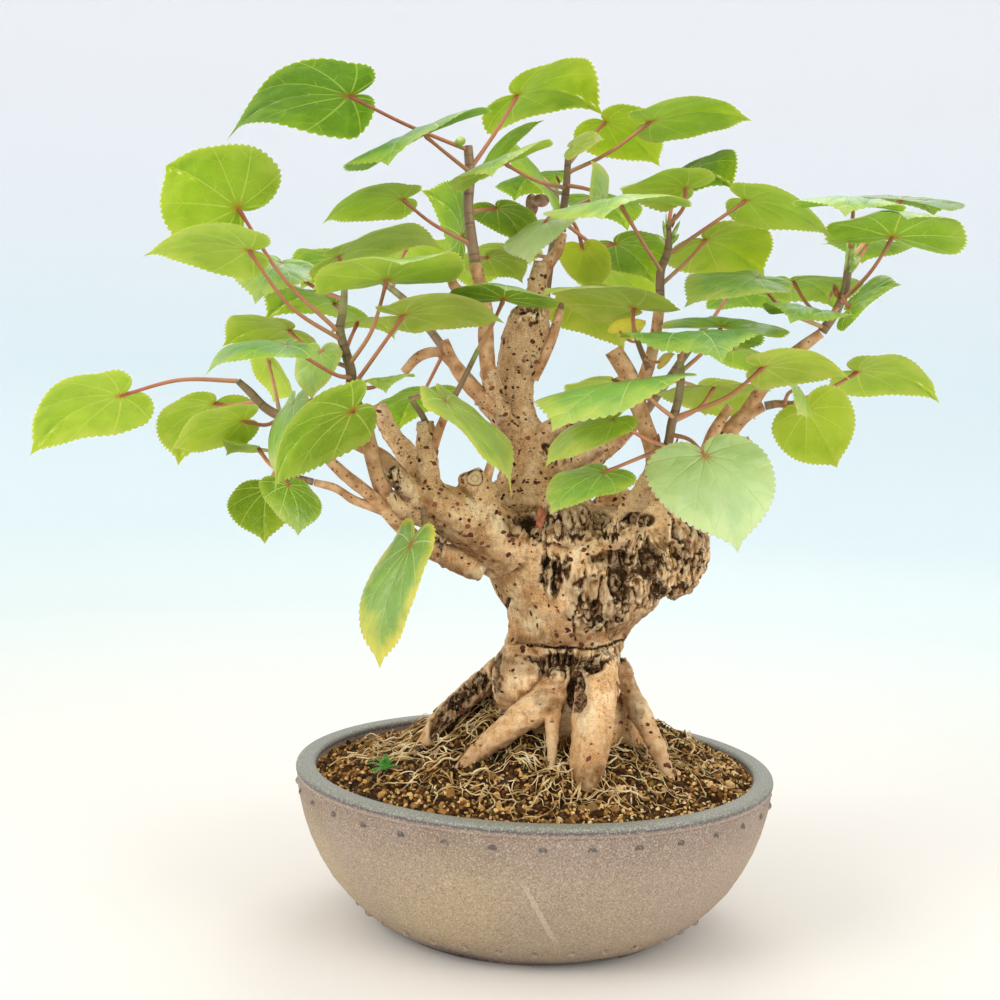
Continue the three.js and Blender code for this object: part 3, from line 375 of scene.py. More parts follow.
# Rows of the stump from the crown down: its left and right edge, down, depth and half its depth
STUMP = [
    [512, 634, 506, 4, 26], [490, 660, 516, 4, 36], [476, 676, 538, 4, 44], [480, 682, 560, 3, 46],
    [490, 672, 580, 2, 45], [501, 656, 600, 0, 42], [508, 638, 620, 0, 37], [506, 622, 642, 0, 33],
    [500, 621, 664, 0, 33], [492, 630, 690, 0, 37], [486, 640, 716, 0, 41], [482, 646, 744, 0, 43],
]
LIMBS = [
    # right shoulder, left bulge, knobs on the crown
    [[636, 514, 5, 13], [664, 528, 0, 18], [678, 546, 0, 17], [677, 568, 0, 14.5], [660, 590, 0, 10]],
    [[521, 648, -20, 10], [519, 672, -24, 15], [521, 704, -22, 13]],
    [[497, 545, 12, 14], [470, 547, 18, 11], [447, 549, 22, 8.5], [424, 549, 24, 6.5]],
    [[560, 500, -22, 13], [566, 520, -32, 14], [560, 545, -34, 10]],
    [[620, 505, 16, 14], [612, 520, 26, 16], [600, 540, 34, 14]],
    # upper trunk
    [[535, 520, 4, 34], [530, 496, 5, 25], [530, 478, 6, 18], [529, 446, 8, 13], [519, 418, 10, 10],
      [515, 386, 10, 10], [522, 350, 10, 12], [529, 324, 10, 12], [537, 300, 10, 7], [538, 282, 11, 5.5],
      [541, 262, 12, 4]],
    [[537, 285, 11, 4.5], [549, 262, 13, 3.6], [558, 250, 14, 3], [562, 233.5, 15, 2.6]],
    [[533, 378, 9, 3.4], [545, 355, 6, 3], [553, 335, 8, 2.8], [560, 310.5, 12, 2.4]],
    # stem under the top left leader
    [[516, 440, 2, 6], [500, 410, -6, 5], [490, 380, -10, 4.6], [486, 340, -12, 4.2], [485, 305, -13, 4],
      [480, 284, -14, 3.7], [475, 263.5, -15, 3.3]],
    [[486, 306, -13, 3.6], [474, 300, -16, 3.2], [454, 286, -19, 2.8], [450, 264, -20, 2]],
    [[506, 414, -4, 5], [480, 395, -10, 4.4], [465, 380, -16, 4], [453, 362, -18, 3.4], [444, 340, -19, 2.4]],
    [[455, 366, -18, 3], [438, 352, -16, 2.8], [420, 356, -14, 2.8], [404, 372, -12, 2.4]],
    # right branches
    [[530, 446, 6, 8], [570, 421, -2, 5.5], [600, 414, -8, 4.6], [622, 404, -12, 4.2], [640, 386, -16, 3.8],
      [650, 360, -18, 3.4], [657, 326, -19, 3], [660, 299.5, -20, 2.8]],
    [[540, 478, 0, 8], [575, 459, -6, 6], [605, 441, -12, 5]],
    [[664, 516, 6, 10], [690, 490, 5, 7], [708, 464, 2, 5.6], [729, 432, 0, 4.8], [745, 415, 0, 4.2],
      [763.5, 406.4, -2, 2.8]],
    [[700, 474, 2, 4.4], [714, 432, -6, 3.4], [730, 406, -9, 2.4]],
    [[744, 416, 0, 4], [764, 386, -3, 3.5], [786, 360, -5, 3.3], [806, 344, -7, 3.1], [821, 333.2, -8, 2.8]],
    [[612, 552, -28, 12], [620, 537, -38, 8], [632, 510, -48, 5.6], [645, 488, -56, 5], [654, 465, -62, 4.6],
      [652, 448, -65, 4.4], [645, 425, -67, 4.2], [637, 402, -67, 4.4], [629, 377, -66, 4.8],
      [613, 350, -66, 4.6]],
    # left limbs and stubs
    [[508, 548, -20, 19], [482, 527, -32, 16], [458, 514, -42, 13.5], [434, 502, -48, 11],
      [412, 494, -52, 8]],
    [[433, 504, -48, 8], [428, 476, -50, 6.6], [427, 450, -50, 5.4], [425, 421, -50, 4.6]],
    [[424, 503, -50, 7.5], [407, 486, -55, 5.6], [392, 469, -60, 4.8]],
    [[480, 518, -36, 13], [477, 493, -39, 10.5], [468, 472, -41, 6.5]],
    [[486, 482, -38, 2.8], [495, 446, -42, 2.2], [497, 430, -44, 1.7]],
    [[470, 528, -36, 9], [445, 521, -42, 7], [420, 515, -50, 5.6], [401, 508, -56, 4.9], [388, 498, -59, 4.5],
      [379, 480, -60, 4.2], [374, 464, -60, 4], [370, 446, -60, 3.8], [366.4, 425.6, -61, 3.5]],
    [[478, 564, -26, 9], [450, 558, -36, 6.4], [428, 548, -44, 4.6], [400, 525, -52, 3.9],
      [385, 510, -60, 3.5], [370, 495, -66, 3.3], [345, 475, -72, 3.1], [327, 458, -76, 2.8]],
    [[386, 512, -60, 2.8], [370, 506, -64, 2.5], [354, 500, -68, 2.3], [335, 488, -72, 2.1],
      [314.5, 482.5, -75, 1.9]],
    [[412, 494, -50, 5.5], [383, 458, -46, 4], [361, 445, -44, 3.5], [325, 433, -42, 3.1],
      [296.5, 424.6, -41, 2.9]],
    [[432, 496, -40, 9], [412, 462, -22, 7], [396, 440, -12, 5.6], [386, 425, -8, 5], [378, 405, -6, 4.2]],
    [[428, 460, -49, 3.4], [441, 425, -54, 2.4], [451, 402.6, -57, 2]],
    [[430, 498, -52, 6], [424.5, 503, -60, 3], [423.4, 506, -62.4, 2]],
    # branches at the back
    [[526, 452, 14, 8], [500, 420, 22, 5.4], [474, 388, 28, 4.2], [453, 361.5, 33.6, 3]],
    [[528, 352, 14, 7], [540, 326, 18, 4.2], [545, 301.5, 21.6, 3]],
    [[560, 486, 18, 10], [590, 462, 26, 6], [618, 440, 31, 4.4], [639, 421.2, 33.6, 3]],
]
ROOTS = [
    [[597, 648, -24, 11], [597, 672, -34, 11.5], [595, 700, -44, 11.5], [592, 730, -55, 11],
      [588, 762, -65, 9.5], [583, 798, -77, 5]],
    [[566, 668, -26, 9], [556, 686, -33, 9], [545, 701, -38, 9], [525, 716, -43, 8.4], [500, 735, -49, 7],
      [481, 750, -53, 5.6], [462, 765, -57, 3.6]],
    [[504, 668, -10, 9], [476, 689, -15, 7.4], [455, 705, -19, 6], [440, 720, -22, 5.4], [428, 737, -24, 4.6],
      [416, 757, -27, 3]],
    [[612, 668, -14, 9], [633, 698, -24, 6], [645, 724, -31, 5.2], [656, 746, -38, 4.8], [667, 772, -44, 3]],
    [[610, 684, -4, 8], [632, 712, 0, 6], [650, 738, 4, 4.6], [660, 762, 8, 3]],
    [[554, 694, -36, 5], [553, 720, -46, 3.8], [553, 742, -54, 3.2], [550, 778, -64, 2]],
    [[510, 674, 16, 9], [480, 698, 36, 8], [446, 717, 54, 6], [418, 732, 66, 3]],
    [[556, 668, 26, 10], [560, 690, 48, 9], [566, 708, 68, 6.5], [572, 722, 84, 3]],
    [[602, 672, 20, 9], [624, 700, 40, 8], [642, 724, 60, 5], [652, 738, 74, 3]],
]
STUMP_SIDES = 48
# The mesh is made this fine, in metres, and this share of its triangles is kept
WOOD_GRID = 0.0009
WOOD_KEPT = 0.51
# A limb goes on as a twig where it gets thinner than this, and a root ends this deep in the soil
TWIG_START = 4.6
ROOT_DIP = 12


def sight(places):
    """Points in metres for places [right, down, depth] read off the picture."""
    places = np.atleast_2d(np.asarray(places, float))
    rays = ahead + np.outer((places[:, 0] - PICTURE_MIDDLE) / FOCAL, across)
    rays += np.outer((PICTURE_MIDDLE - places[:, 1]) / FOCAL, above)
    reach = (places[:, 2] - EYE[1]) / rays[:, 1]
    return AXIS + (EYE + rays * reach[:, None]) * MM


def seen(points):
    """Where points in metres lie in the picture, in thousandths of its side: right and down."""
    rays = (points - AXIS) / MM - EYE
    depth = rays @ ahead
    return PICTURE_MIDDLE + FOCAL * (rays @ across) / depth, PICTURE_MIDDLE - FOCAL * (rays @ above) / depth


def smooth_line(places, spacing):
    """Rows of values on a smooth line through rows of places, about evenly spaced."""
    places = np.asarray(places, float)
    knots = np.concatenate([[0], np.cumsum(np.linalg.norm(np.diff(places[:, :3], axis=0), axis=1))])
    slopes = np.gradient(places, knots, axis=0)
    at = np.linspace(0, knots[-1], max(2, int(knots[-1] / spacing) + 1))
    span = np.clip(np.searchsorted(knots, at, side="right") - 1, 0, len(knots) - 2)
    width = (knots[span + 1] - knots[span])[:, None]
    s = (at[:, None] - knots[span][:, None]) / width
    return ((2 * s ** 3 - 3 * s ** 2 + 1) * places[span] + (s ** 3 - 2 * s ** 2 + s) * width * slopes[span]
            + (3 * s ** 2 - 2 * s ** 3) * places[span + 1] + (s ** 3 - s ** 2) * width * slopes[span + 1])


def lumps(points, size, seed):
    """Smooth noise from -1 to 1 at each point in metres, with lumps of about the given size."""
    table = np.random.default_rng(seed).random((32, 32, 32)) * 2 - 1
    cell = points / size
    low = np.floor(cell).astype(int)
    share = cell - low
    share = share * share * (3 - 2 * share)
    total = np.zeros(len(points))
    for corner in np.ndindex(2, 2, 2):
        weight = np.prod(np.where(corner, share, 1 - share), axis=1)
        i, j, k = ((low + corner) % 32).T
        total += weight * table[i, j, k]
    return total


def stretch(places, spacing=2.5):
    """A limb's line in metres: x, y, z and radius, about every few millimetres."""
    places = np.asarray(places, float)
    line = np.column_stack([sight(places), places[:, 3] * MM])
    return smooth_line(line, spacing * MM)


def strands(name, lines, **values):
    """A piece of loose lines, each point with its radius and other values, ready to be swept."""
    points, edges, radius = [], [], []
    for line in lines:
        base = len(points)
        edges += [(base + i, base + i + 1) for i in range(len(line) - 1)]
        points += [row[:3] for row in line]
        radius += [row[3] for row in line]
    return shaped(name, points, edges=edges, radius=radius, **values)


sweep, given, made = new_tree("sweep round lines", Geometry="Geometry", Sides="Int", Bark="Material")
lines = add(sweep, "GeometryNodeMeshToCurve", [given["Geometry"]])
section = add(sweep, "GeometryNodeCurvePrimitiveCircle", {"Resolution": given["Sides"], "Radius": 1.0})
radius = add(sweep, "GeometryNodeInputNamedAttribute", {"Name": "radius"}, data_type="FLOAT")
tube = add(sweep, "GeometryNodeCurveToMesh", {
    "Curve": lines, "Profile Curve": section, "Scale": radius, "Fill Caps": True,
})
real = add(sweep, "GeometryNodeRealizeInstances", [tube])
painted = add(sweep, "GeometryNodeSetMaterial", {"Geometry": real, "Material": given["Bark"]})
feed(made, [painted])


def stump_body():
    """Points and faces of the stump, lofted through its rows."""
    rows = smooth_line(STUMP, 5)
    turns = np.arange(STUMP_SIDES) / STUMP_SIDES * 2 * math.pi
    rings = []
    for left, right, down, depth, half_depth in rows:
        a, b = sight([[left, down, depth], [right, down, depth]])
        out = np.column_stack([
            np.cos(turns) * np.linalg.norm(b - a) / 2, -np.sin(turns) * half_depth * MM, np.zeros(STUMP_SIDES),
        ])
        rings.append((a + b) / 2 + out)
    return np.vstack(rings), ring_faces(len(rings), STUMP_SIDES)


def merged(piece, others):
    """The piece with the other bodies' meshes added to its own."""
    whole = bmesh.new()
    for one in (piece, *others):
        whole.from_mesh(one.data)
    whole.to_mesh(piece.data)
    whole.free()
    for one in others:
        removed(one)
    return piece


limb_lines = [stretch(places) for places in LIMBS]
thick_lines, twig_lines = [], []
for line in limb_lines:
    thin = np.flatnonzero(line[:, 3] < TWIG_START * MM)
    first_thin = thin[0] if len(thin) else len(line)
    if first_thin > 3:
        thick_lines.append(line[:first_thin + 3])
    if first_thin < len(line) - 1:
        twig_lines.append(line[max(0, first_thin - 3):])
root_lines = []
for places in ROOTS:
    line = stretch(places)
    onward = line[-1] - line[-3]
    onward[:3] *= 0.5 * ROOT_DIP * MM / max(np.linalg.norm(onward[:3]), MM)
    end = line[-1] + (*onward[:2], -ROOT_DIP * MM, -0.15 * line[-1, 3])
    root_lines.append(np.vstack([line, (line[-1] + end) / 2 + (0, 0, 0.002, 0), end]))

wood = shaped("trunk_wood", *stump_body())
heavy = grown(strands("heavy", thick_lines + root_lines), sweep, Sides=16)
merged(wood, [heavy])
remesh = wood.modifiers.new("one skin", "REMESH")
remesh.mode = "VOXEL"
remesh.voxel_size = WOOD_GRID
soften = wood.modifiers.new("soften", "SMOOTH")
soften.factor = 0.5
soften.iterations = 5
settled(wood)

# Where the bark is old and fissured, rotted to black hollows, stained, or young and thick with dots, and
# where a limb was sawn off: oval spots of the picture, as [right, down, half width, half height]. The black
# spots paint shade as well as rot into the hollows under the neck's fold and between the roots, and the
# stained spots paint shade as well as stains into the recesses under the fold and the ridges. Folds are
# lines [right, down] with a half width.
OLD_SPOTS = [
    (553, 571, 15, 24), (604, 596, 36, 40), (648, 574, 36, 44), (684, 552, 26, 48), (530, 312, 22, 12),
    (556, 453, 20, 12), (560, 526, 54, 20), (604, 530, 30, 16), (437, 547, 9, 15), (396, 478, 10, 12),
    (566, 664, 36, 18), (608, 655, 22, 10), (474, 682, 16, 18), (452, 706, 18, 20),
]
ROT_AND_SHADE_SPOTS = [
    (612, 557, 22, 8), (620, 580, 12, 22), (648, 562, 15, 19), (659, 590, 8, 13), (596, 610, 7, 14),
    (556, 660, 26, 7), (590, 664, 18, 9), (577, 690, 9, 22), (523, 521, 10, 8), (545, 568, 5, 16),
    (556, 574, 5, 20), (567, 566, 4, 14), (640, 520, 16, 8), (495, 668, 6, 26), (698, 592, 4, 7),
    (436, 548, 6, 10), (476, 680, 12, 15), (457, 702, 14, 15), (438, 725, 12, 13),
]
STAIN_AND_SHADE_SPOTS = [
    (560, 641, 60, 8), (600, 628, 30, 14), (548, 666, 54, 12), (498, 668, 8, 34), (628, 668, 12, 34),
    (650, 562, 22, 20), (612, 560, 22, 12), (600, 600, 40, 30), (530, 305, 24, 8), (560, 520, 60, 16),
    (590, 784, 26, 18), (468, 694, 30, 20), (440, 722, 16, 20), (580, 690, 14, 30), (548, 700, 16, 14),
    (636, 700, 12, 20), (690, 540, 20, 40),
]
DOTTED_SPOTS = [
    (525, 400, 34, 70), (540, 480, 44, 40), (530, 345, 26, 36), (575, 415, 50, 20), (428, 450, 12, 40),
    (470, 495, 20, 30), (600, 545, 40, 14),
]
CUT_ENDS = [(425, 422, 8, 3), (475, 478, 9, 8)]
FOLDS = [
    ([(528, 645), (537, 646), (556, 648), (580, 649), (603, 647), (622, 640)], 1.3),
    ([(508, 600), (500, 622), (494, 650)], 2.0),
    ([(575, 640), (573, 618), (580, 600)], 1.0), ([(586, 632), (598, 622), (606, 624)], 0.8),
]


def in_spots(right, down, spots, ragged):
    """How far each point of the picture lies inside any of the oval spots, with ragged edges."""
    inside = np.zeros(len(right))
    for x, y, wide, high in spots:
        reach = np.hypot((right - x) / wide, (down - y) / high) + ragged
        inside = np.maximum(inside, 1 - rising(reach, 0.7, 1.15))
    return inside


def from_line(right, down, line):
    """How far each point of the picture lies from a line of places in it."""
    nearest = np.full(len(right), 1e9)
    spot = np.column_stack([right, down])
    for a, b in zip(np.array(line[:-1], float), np.array(line[1:], float)):
        share = np.clip((spot - a) @ (b - a) / ((b - a) @ (b - a)), 0, 1)
        nearest = np.minimum(nearest, np.linalg.norm(spot - a - share[:, None] * (b - a), axis=1))
    return nearest


def rising(value, low, high):
    """A soft step from 0 at low to 1 at high."""
    share = np.clip((value - low) / (high - low), 0, 1)
    return share * share * (3 - 2 * share)


def points_and_normals(piece):
    """The piece's points and the directions in which its surface faces there."""
    count = len(piece.data.vertices)
    points, normals = np.empty(count * 3), np.empty(count * 3)
    piece.data.vertices.foreach_get("co", points)
    piece.data.vertex_normals.foreach_get("vector", normals)
    return points.reshape(-1, 3), normals.reshape(-1, 3)


def hollowness(piece, points, normals, rounds):
    """How deep in millimetres each point lies in a hollow, against the surface smoothed over."""
    edges = np.empty(len(piece.data.edges) * 2, int)
    piece.data.edges.foreach_get("vertices", edges)
    ends = np.vstack([edges.reshape(-1, 2), edges.reshape(-1, 2)[:, ::-1]])
    neighbours = np.bincount(ends[:, 0], minlength=len(points))
    calm = points.copy()
    for _ in range(rounds):
        for axis in range(3):
            calm[:, axis] = np.bincount(ends[:, 0], calm[ends[:, 1], axis], len(points)) / neighbours
    return ((calm - points) * normals).sum(axis=1) / MM


def bare_copy(name, piece, bare):
    """A copy of a piece's surface that says how open each point is to what is scattered over it."""
    surface_copy = bpy.data.objects.new(name, piece.data.copy())
    bpy.context.scene.collection.objects.link(surface_copy)
    surface_copy.data.attributes.new("bare", "FLOAT", "POINT").data.foreach_set("value", bare)
    return surface_copy


points, normals = points_and_normals(wood)
right, down = seen(points)
cut = np.full(len(points), 9.0)
for x, y, wide, high in CUT_ENDS:
    cut = np.minimum(cut, np.hypot((right - x) / wide, (down - y) / high))
to_eye = AXIS + EYE * MM - points
facing_eye = rising((to_eye * normals).sum(axis=1) / np.linalg.norm(to_eye, axis=1), -0.05, 0.2)
side = (points[:, 0] - AXIS[0]) / MM
height = points[:, 2] / MM
wander = lumps(points, 0.006, 7)
cut = np.where(facing_eye > 0.6, cut + 0.12 * wander, 9.0)
old = facing_eye * in_spots(right, down, OLD_SPOTS, 0.22 * wander)
behind = rising(side + 14 * lumps(points, 0.018, 3), 22, 40)
behind *= rising(height, 138, 156) * rising(-height, -250, -232)
behind = np.maximum(behind, rising(lumps(points, 0.03, 4), 0.3, 0.55) * rising(height, 100, 130))
old = np.maximum(old, (1 - facing_eye) * behind)
# Rot, and painted shade in the hollows, from the black spots
black = facing_eye * in_spots(right, down, ROT_AND_SHADE_SPOTS, 0.35 * wander)
dotty = np.maximum(facing_eye * in_spots(right, down, DOTTED_SPOTS, 0), rising(height, 205, 235))
# Long plates of old bark stand between the grooves, which run up the trunk
up_grain = points * (1, 1, 0.5)
plates = lumps(up_grain, 0.0042, 5) + 0.5 * lumps(up_grain, 0.002, 6)
groove = (1 - rising(np.abs(plates), 0.03, 0.26)) * old
fold = np.zeros(len(points))
for line, half_width in FOLDS:
    reach = from_line(right, down, line) / (half_width * (1 + 0.5 * wander))
    fold = np.maximum(fold, facing_eye * (1 - rising(reach, 0.4, 1.4)))
island = rising(np.abs(plates), 0.2, 0.5)
crack = np.maximum(0.6 * groove, fold)
relief = 0.8 * lumps(points, 0.011, 8) + 0.5 * lumps(points, 0.0045, 9) + 0.25 * lumps(points, 0.0022, 10)
relief += 0.25 * lumps(points * (1, 1, 2.6), 0.0045, 16) * (1 - old) * rising(height, 130, 150)
relief += old * (1.5 * lumps(points, 0.0075, 11) + 0.8 * lumps(points, 0.003, 14) + 0.5)
relief += -1.8 * groove - 1.2 * fold - black * (3.4 - 2.8 * island)
# Fine wrinkles ring the smooth bark in the middle of the trunk
wrinkles = np.sin(height / 0.9 + 4 * lumps(points, 0.014, 12))
wrinkles *= rising(-height, -166, -150) * rising(height, 96, 120)
relief += 0.16 * wrinkles * (1 - old)
points += normals * relief[:, None] * MM
wood.data.vertices.foreach_set("co", points.ravel())
wood.data.update()
points, normals = points_and_normals(wood)
# How deep each point lies in a broad hollow, and the stained spots: both are darkened with dirt and painted
# shade
hollow = rising(hollowness(wood, points, normals, 24), 0.4, 1.5)
# Fine hollows and ridges, for painted shade in the crevices and painted highlights on the ridges
cavity = np.clip(hollowness(wood, points, normals, 8) / 0.4, -1, 1)
hollow = np.maximum(hollow, 0.8 * facing_eye * in_spots(right, down, STAIN_AND_SHADE_SPOTS, 0.4 * wander))
for key, value in (
    ("crack", crack), ("old", old), ("black", black), ("hollow", hollow), ("dotty", dotty), ("cavity", cavity),
    ("cut", cut),
):
    wood.data.attributes.new(key, "FLOAT", "POINT").data.foreach_set("value", value)
# Where the warts may stand, taken from the bark before its mesh is thinned out
open_bark = (1 - rising(crack, 0.1, 0.4)) * (1 - 0.8 * old) * (0.6 + 0.4 * rising(height, 90, 150))
open_bark *= 0.25 + 0.75 * rising(lumps(points, 0.018, 15), -0.2, 0.3)
wart_ground = bare_copy("trunk_warts", wood, open_bark)
thinner = wood.modifiers.new("thinned out", "DECIMATE")
thinner.ratio = WOOD_KEPT
settled(wood)
smooth(wood, 180)

# Thin cream-tan bark with dark red-brown dots, black in the splits and hollows, grey-green with algae on
# top of the crown, pale on the flaking plates where it is old, and stained by soil low down. Painted shade
# darkens its hollows, fine crevices and the sides that face down, and painted highlights lighten its ridges.
bark, tree, surface = finish("thin cream bark with lenticels", 0.75, 0.15)
marks = {
    key: add(tree, "Attribute", attribute_name=key, out="Fac")
    for key in ("crack", "old", "black", "hollow", "dotty", "cavity", "cut")
}
place = add(tree, "TexCoord", out="Object")
level_z = add(tree, "SeparateXYZ", [place], out="Z")
broad = add(tree, "TexNoise", {"Vector": place, "Scale": 70.0, "Detail": 4.0})
base = add(tree, "ValToRGB", [broad], stops=[
    (0.3, "#b98450"), (0.44, "#d6a26b"), (0.57, "#f0c38e"), (0.72, "#ffe4b5"),
])
high_up = add(tree, "MapRange", [level_z, 0.2, 0.3, 0.0, 0.6])
long_grain = add(tree, "Mapping", {"Vector": place, "Scale": (1.0, 1.0, 0.35)})
streak = add(tree, "TexNoise", {"Vector": long_grain, "Scale": 480.0, "Detail": 4.0})
streaked = add(tree, "MapRange", [streak, 0.5, 0.75, 0.0, 0.6])
# Pores and pale specks of about 0.8 mm, as fine as the picture holds; the pale specks are also painted glints
pores = add(tree, "TexNoise", {"Vector": place, "Scale": 1200.0, "Detail": 2.0})
pored = add(tree, "MapRange", [pores, 0.56, 0.72, 0.0, 0.6])
pale_specks_and_painted_glints = add(tree, "MapRange", [pores, 0.45, 0.3, 0.0, 0.5])
# Ragged dots about 1 mm across, wider than tall, at most one to each cell of 3.3 mm, thick on the upper
# trunk and the young stubs
jitter = pores.node.outputs["Color"]
ragged = add(tree, "VectorMath", [jitter, (0.0016, 0.0016, 0.0012), place], operation="MULTIPLY_ADD")
flattened = add(tree, "Mapping", {"Vector": ragged, "Scale": (1.0, 1.0, 1.5)})
cells = add(tree, "TexVoronoi", {"Vector": flattened, "Scale": 300.0}, out=None)
apart = add(tree, "Math", [streak, 0.16, cells.outputs["Distance"]], operation="MULTIPLY_ADD")
lots = add(tree, "SeparateXYZ", [cells.outputs["Color"]], out=None)
sized = add(tree, "Math", [lots.outputs["Y"], 0.2, apart], operation="MULTIPLY_ADD")
dot = add(tree, "MapRange", [sized, 0.46, 0.38])
lot = lots.outputs["X"]
drawn = add(tree, "Math", [marks["dotty"], 0.5, lot], operation="MULTIPLY_ADD")
some = add(tree, "MapRange", [drawn, 0.86, 0.9])
dots = add(tree, "Math", [dot, some], operation="MULTIPLY")
plate_tone = add(tree, "ValToRGB", [streak], stops=[
    (0.34, "#5f3f22"), (0.44, "#ad7e4a"), (0.54, "#e0b682"), (0.66, "#fee2b5"),
])
soiled_edge = add(tree, "Math", [broad, -0.05, level_z], operation="MULTIPLY_ADD")
soiled = add(tree, "MapRange", [soiled_edge, 0.104, 0.07, 0.0, 0.8])
up_share = add(tree, "SeparateXYZ", [add(tree, "NewGeometry", out="Normal")], out="Z")
mossed = add(tree, "Math", [broad, 0.9, up_share], operation="MULTIPLY_ADD")
weathered = add(tree, "MapRange", [mossed, 1.0, 1.4, 0.0, 0.65])
grown_over = add(tree, "Math", [weathered, marks["old"]], operation="MULTIPLY")
# Painted shade: the bark is darkened where its surface faces down
painted_underside_shade = add(tree, "MapRange", [up_share, -0.1, -0.8, 0.0, 0.6])
cut_wood = add(tree, "ValToRGB", [marks["cut"]], stops=[
    (0.06, "#6b4128"), (0.14, "#e3c499"), (0.4, "#d6b384"), (0.48, "#94633f"), (0.56, "#e0c094"),
    (0.84, "#cfa878"), (0.96, "#4f3120"),
])
cut_off = add(tree, "MapRange", [marks["cut"], 1.08, 1.0])
# Dirt and painted shade lie in every hollow; painted shade darkens the fine crevices and painted highlights
# lighten the ridges. Old bark is split by fine grooves along the grain, which widen to black where it has
# rotted and where shade is painted into hollows, with a brown edge to each
dirt_and_hollow_shade = add(tree, "Math", [marks["hollow"], 0.6], operation="MULTIPLY")
# Painted shade in the fine crevices
sunken = add(tree, "MapRange", [marks["cavity"], 0.2, 1.0, 0.0, 0.6])
# Painted highlights on the ridges
raised = add(tree, "MapRange", [marks["cavity"], -0.3, -1.0, 0.0, 0.3])
# Rotted bark and painted shade in the black spots
rot_and_shade = add(tree, "Math", [marks["black"], 0.5], operation="MULTIPLY")
short_grain = add(tree, "Mapping", {"Vector": place, "Scale": (1.0, 1.0, 0.7)})
fissure = add(tree, "TexNoise", {"Vector": short_grain, "Scale": 230.0, "Detail": 7.0, "Roughness": 0.66})
off_middle = add(tree, "Math", [fissure, 0.5], operation="SUBTRACT")
distance = add(tree, "Math", [off_middle], operation="ABSOLUTE")
patches = add(tree, "TexNoise", {"Vector": place, "Scale": 110.0, "Detail": 3.0})
old_share = add(tree, "MapRange", [patches, 0.42, 0.6, 0.002, 0.023])
old_width = add(tree, "Math", [marks["old"], old_share], operation="MULTIPLY")
rot_width = add(tree, "Math", [marks["black"], 0.032, old_width], operation="MULTIPLY_ADD")
width = add(tree, "Math", [marks["crack"], 0.1, rot_width], operation="MULTIPLY_ADD")
depth = add(tree, "Math", [width, distance], operation="SUBTRACT")
split_brown = add(tree, "MapRange", [depth, 0.0, 0.01, 0.0, 0.85])
split_dark = add(tree, "MapRange", [depth, 0.008, 0.035])
darkest = add(tree, "ValToRGB", [broad], stops=[(0.42, "#1c140a"), (0.57, "#4e331b")])
bark_colour = base
for share, over in (
    (high_up, "#cba679"), (streaked, "#7d4e2b"), (pored, "#673c1c"), (pale_specks_and_painted_glints, "#f9e2bc"), (dots, "#502512"),
    (marks["old"], plate_tone), (soiled, "#926632"), (painted_underside_shade, "#553620"), (grown_over, "#726446"),
    (dirt_and_hollow_shade, "#5f3d1d"), (sunken, "#654020"), (cut_off, cut_wood), (raised, "#f4dcb6"), (rot_and_shade, "#573c22"),
    (split_brown, "#503115"), (split_dark, darkest),
):
    bark_colour = add(tree, "Mix", {0: share, 6: bark_colour, 7: over}, data_type="RGBA", out=2)
cut_depth = add(tree, "MapRange", [depth, 0.0, 0.04, 0.0, -1.8])
skin_height = add(tree, "Math", [streak, 1.0, cut_depth], operation="MULTIPLY_ADD")
grain = add(tree, "Bump", {"Strength": 0.7, "Distance": 0.0011, "Height": skin_height})
feed(surface, {"Base Color": bark_colour, "Normal": grain})
wood.data.materials.clear()
wood.data.materials.append(bark)
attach(wood, "root")
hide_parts("trunk")

# Woody twigs, the thinner ends of the limbs, in smooth pinkish tan bark with fine dark dots
twig_bark, tree, surface = finish("smooth tan twig bark", 0.7, 0.25)
place = add(tree, "TexCoord", out="Object")
mottle = add(tree, "TexNoise", {"Vector": place, "Scale": 160.0, "Detail": 5.0})
colour = add(tree, "ValToRGB", [mottle], stops=[
    (0.3, "#966741"), (0.45, "#c39164"), (0.58, "#d9aa7d"), (0.72, "#ebc398"),
])
cells = add(tree, "TexVoronoi", {"Vector": place, "Scale": 420.0}, out=None)
dot = add(tree, "MapRange", [cells.outputs["Distance"], 0.3, 0.2])
lot = add(tree, "SeparateXYZ", [cells.outputs["Color"]], out="X")
some = add(tree, "MapRange", [lot, 0.6, 0.7, 0.0, 0.85])
dots = add(tree, "Math", [dot, some], operation="MULTIPLY")
dotted = add(tree, "Mix", {0: dots, 6: colour, 7: "#6b3c22"}, data_type="RGBA", out=2)
grain = add(tree, "Bump", {"Strength": 0.5, "Distance": 0.0006, "Height": mottle})
feed(surface, {"Base Color": dotted, "Normal": grain})
for line in twig_lines:
    line[:, 3] *= 1 + 0.10 * lumps(line[:, :3], 0.006, 13)
twigs = grown(strands("trunk_twigs", twig_lines), sweep, Sides=10, Bark=twig_bark)
smooth(twigs, 60)
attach(twigs, "root")


# The warts: corky raised lenticels, 1.4 to 4.2 mm across, that stand out of the smooth bark. They are
# thickest low down, and there are few on the old plates and in the splits.
WART_DENSITY = 16000.0
FULL_TURN = 6.28

